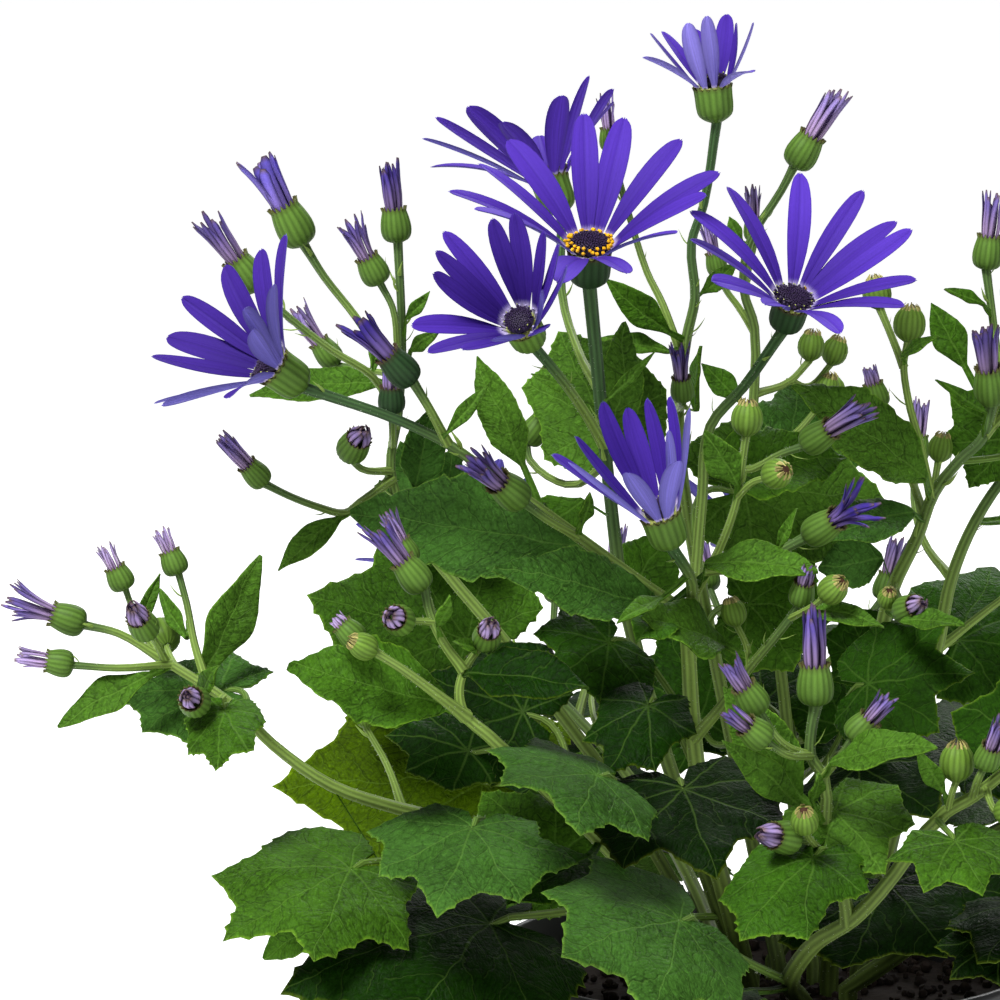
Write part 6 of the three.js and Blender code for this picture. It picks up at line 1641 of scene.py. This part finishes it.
def grow_shoot(name, number):
    """Every stem, head and leaf of one shoot."""
    skin = Skin()
    fine = name not in PLAIN_SHOOTS
    paths = {}
    for i, (stem, parent, at, foot_radius, end_radius, points, head) in enumerate(STEMS[name]):
        path = np.array(points, float)
        if parent:
            path = np.vstack([spot_on(paths[parent], at), path])
        paths[stem] = path
        ends = (FOOT_SHARE * foot_radius, END_SHARE * end_radius)
        seed = number * 100 + i * 3.0
        grow_stem(skin, path, ends, not parent, head, seed, fine)
        if head:
            grow_head(skin, stem, head, path[-1], seed, fine)
    for i, (kind, stem, at, base, tip, face, width, bend) in enumerate(LEAVES[name]):
        root = spot_on(paths[stem], at)
        base, tip, face = (np.array(p, float) for p in (base, tip, face))
        seed = number * 50 + i * 7.0
        tone = LEAF_TONES[TONES[name][i]] * (0.92 + 0.16 * random(seed))
        if kind == "lobed":
            lobed_leaf(skin, root, base, tip, face, width, bend, tone, seed, fine)
        else:
            long_leaf(skin, kind, root, base, tip, face, width, bend, tone, seed, fine)
    skin.object("shoot_" + name + "_fine", ["shoot_" + name], "foliage")


def turned(profile, sides):
    """Rings round the upright axis, from pairs of radius and height."""
    ring = around(X, Y, circle_angles(sides))
    return [radius * ring + height * UP for radius, height in profile]


def pot():
    """The pot: a tapered wall with a rolled rim, closed below where the solids have drain holes."""
    skin = Skin()
    neck = POT_HEIGHT - RIM_DEPTH
    outline = [
        [2, 0], [POT_BASE_RADIUS - 1.2, 0], [POT_BASE_RADIUS - 0.3, 0.3], [POT_BASE_RADIUS, 1.2],
        [POT_BASE_RADIUS + POT_SLOPE * 40, 40], [POT_NECK_RADIUS, neck],
        [POT_NECK_RADIUS + 0.6, neck + 0.1], [RIM_RADIUS - 1, neck + 0.8],
        [RIM_RADIUS - 0.2, neck + 1.6], [RIM_RADIUS, POT_HEIGHT - 1.4],
        [RIM_RADIUS - 0.3, POT_HEIGHT - 0.3], [RIM_RADIUS - 0.9, POT_HEIGHT],
        [RIM_RADIUS - POT_WALL - 0.2, POT_HEIGHT - 0.1], [RIM_RADIUS - POT_WALL - 0.6, POT_HEIGHT - 0.6],
        [POT_NECK_RADIUS - POT_WALL, neck],
        [POT_BASE_RADIUS - POT_WALL + POT_SLOPE * POT_FLOOR, POT_FLOOR], [2, POT_FLOOR],
    ]
    skin.wrap(turned(outline, POT_SIDES), "pot", POT_BLACK)
    skin.object("pot_fine", ["pot"], "pot")


def soil():
    """Soil that fills the pot, with a crumbly top and loose crumbs on it."""
    skin = Skin()
    wall = POT_BASE_RADIUS - POT_WALL - GAP - 0.2
    edge = wall + POT_SLOPE * SOIL_TOP
    outline = [
        [4, SOIL_BOTTOM], [wall + POT_SLOPE * 4, SOIL_BOTTOM], [wall + POT_SLOPE * 60, 60],
        [edge - 0.6, SOIL_TOP - 2],
    ]
    rings = turned(outline, SOIL_SIDES)
    for k, radius in enumerate(np.linspace(edge - 2, 2, SOIL_RINGS)):
        lump = SOIL_LUMP * (random(k * SOIL_SIDES + np.arange(SOIL_SIDES) * 1.9) - 0.5)
        level = SOIL_TOP - 0.6 + lump * 0.6
        rings.append(radius * around(X, Y, circle_angles(SOIL_SIDES)) + level[:, None] * UP)
    skin.wrap(rings, "soil", SOIL_BROWN)
    for i in range(CRUMBS):
        reach = (edge - 3) * math.sqrt(random(i * 1.3))
        level = SOIL_TOP + 0.1 + 0.5 * random(i * 0.7)
        place = reach * around(X, Y, 2 * np.pi * random(i * 2.9)) + level * UP
        lean = unit([random(i * 3.3) - 0.5, random(i * 4.1) - 0.5, 0.8])
        tint = SOIL_BROWN * (0.6 + 0.9 * random(i * 6.1))
        bead(skin, place, lean, 0.7 + 1.3 * random(i * 5.3), "soil", tint)
    skin.object("soil_fine", ["soil"], "soil")


pot()
soil()
for number, shoot in enumerate(STEMS):
    grow_shoot(shoot, number)


# Stage, light and camera


def stage_floor():
    """A floor of one box, wide enough to fill the view: grey, with a painted white glow that is dim near
    the plant and full further off.
    """
    h = FLOOR_HALF_SIZE
    corners = [(x, y, z) for z in (-FLOOR_THICKNESS, 0) for y in (-h, h) for x in (-h, h)]
    faces = [(0, 2, 3, 1), (4, 5, 7, 6), (0, 1, 5, 4), (2, 6, 7, 3), (0, 4, 6, 2), (1, 3, 7, 5)]
    mesh = bpy.data.meshes.new("floor")
    mesh.from_pydata(corners, [], faces)
    material = bpy.data.materials.new("floor_white")
    mesh.materials.append(material)
    material.use_nodes = True
    nodes, links = material.node_tree.nodes, material.node_tree.links
    shader = nodes["Principled BSDF"]
    shader.inputs["Base Color"].default_value = (FLOOR_GREY, FLOOR_GREY, FLOOR_GREY, 1)
    shader.inputs["Roughness"].default_value = 0.9
    shader.inputs["Emission Color"].default_value = (1, 1, 1, 1)
    distance = nodes.new("ShaderNodeVectorMath")
    distance.operation = "LENGTH"
    links.new(nodes.new("ShaderNodeTexCoord").outputs["Object"], distance.inputs[0])
    # Painted light: the floor glows, dim round the plant and full further off.
    glow = nodes.new("ShaderNodeMapRange")
    for socket, value in FLOOR_GLOW.items():
        glow.inputs[socket].default_value = value
    links.new(distance.outputs["Value"], glow.inputs["Value"])
    links.new(glow.outputs["Result"], shader.inputs["Emission Strength"])
    floor = placed("floor", mesh)


def area_light(name, place, target, size, power):
    """A round lamp that faces a point."""
    light = bpy.data.lights.new(name, "AREA")
    light.shape = "DISK"
    light.size = size
    light.energy = power
    made = placed(name, light)
    made.location = place
    made.rotation_euler = (Vector(target) - Vector(place)).to_track_quat("-Z", "Y").to_euler()


def camera():
    """The camera, in front of the plant and a little above it."""
    elevation = math.radians(CAMERA_ELEVATION)
    offset = Vector((0, -math.cos(elevation), math.sin(elevation))) * CAMERA_DISTANCE
    data = bpy.data.cameras.new("camera")
    data.lens = FOCAL_LENGTH
    data.sensor_width = SENSOR_WIDTH
    data.clip_end = CLIP_END
    made = placed("camera", data)
    made.location = Vector(CAMERA_TARGET) + offset
    made.rotation_euler = (-offset).to_track_quat("-Z", "Y").to_euler()
    bpy.context.scene.camera = made


stage_floor()
camera()
world = bpy.data.worlds.new("studio")
world.use_nodes = True
background = world.node_tree.nodes["Background"]
background.inputs["Color"].default_value = (1, 1, 1, 1)
background.inputs["Strength"].default_value = WORLD_STRENGTH
bpy.context.scene.world = world
for lamp, settings in LIGHTS.items():
    area_light(lamp, *settings)
bpy.context.scene.view_settings.view_transform = "Standard"
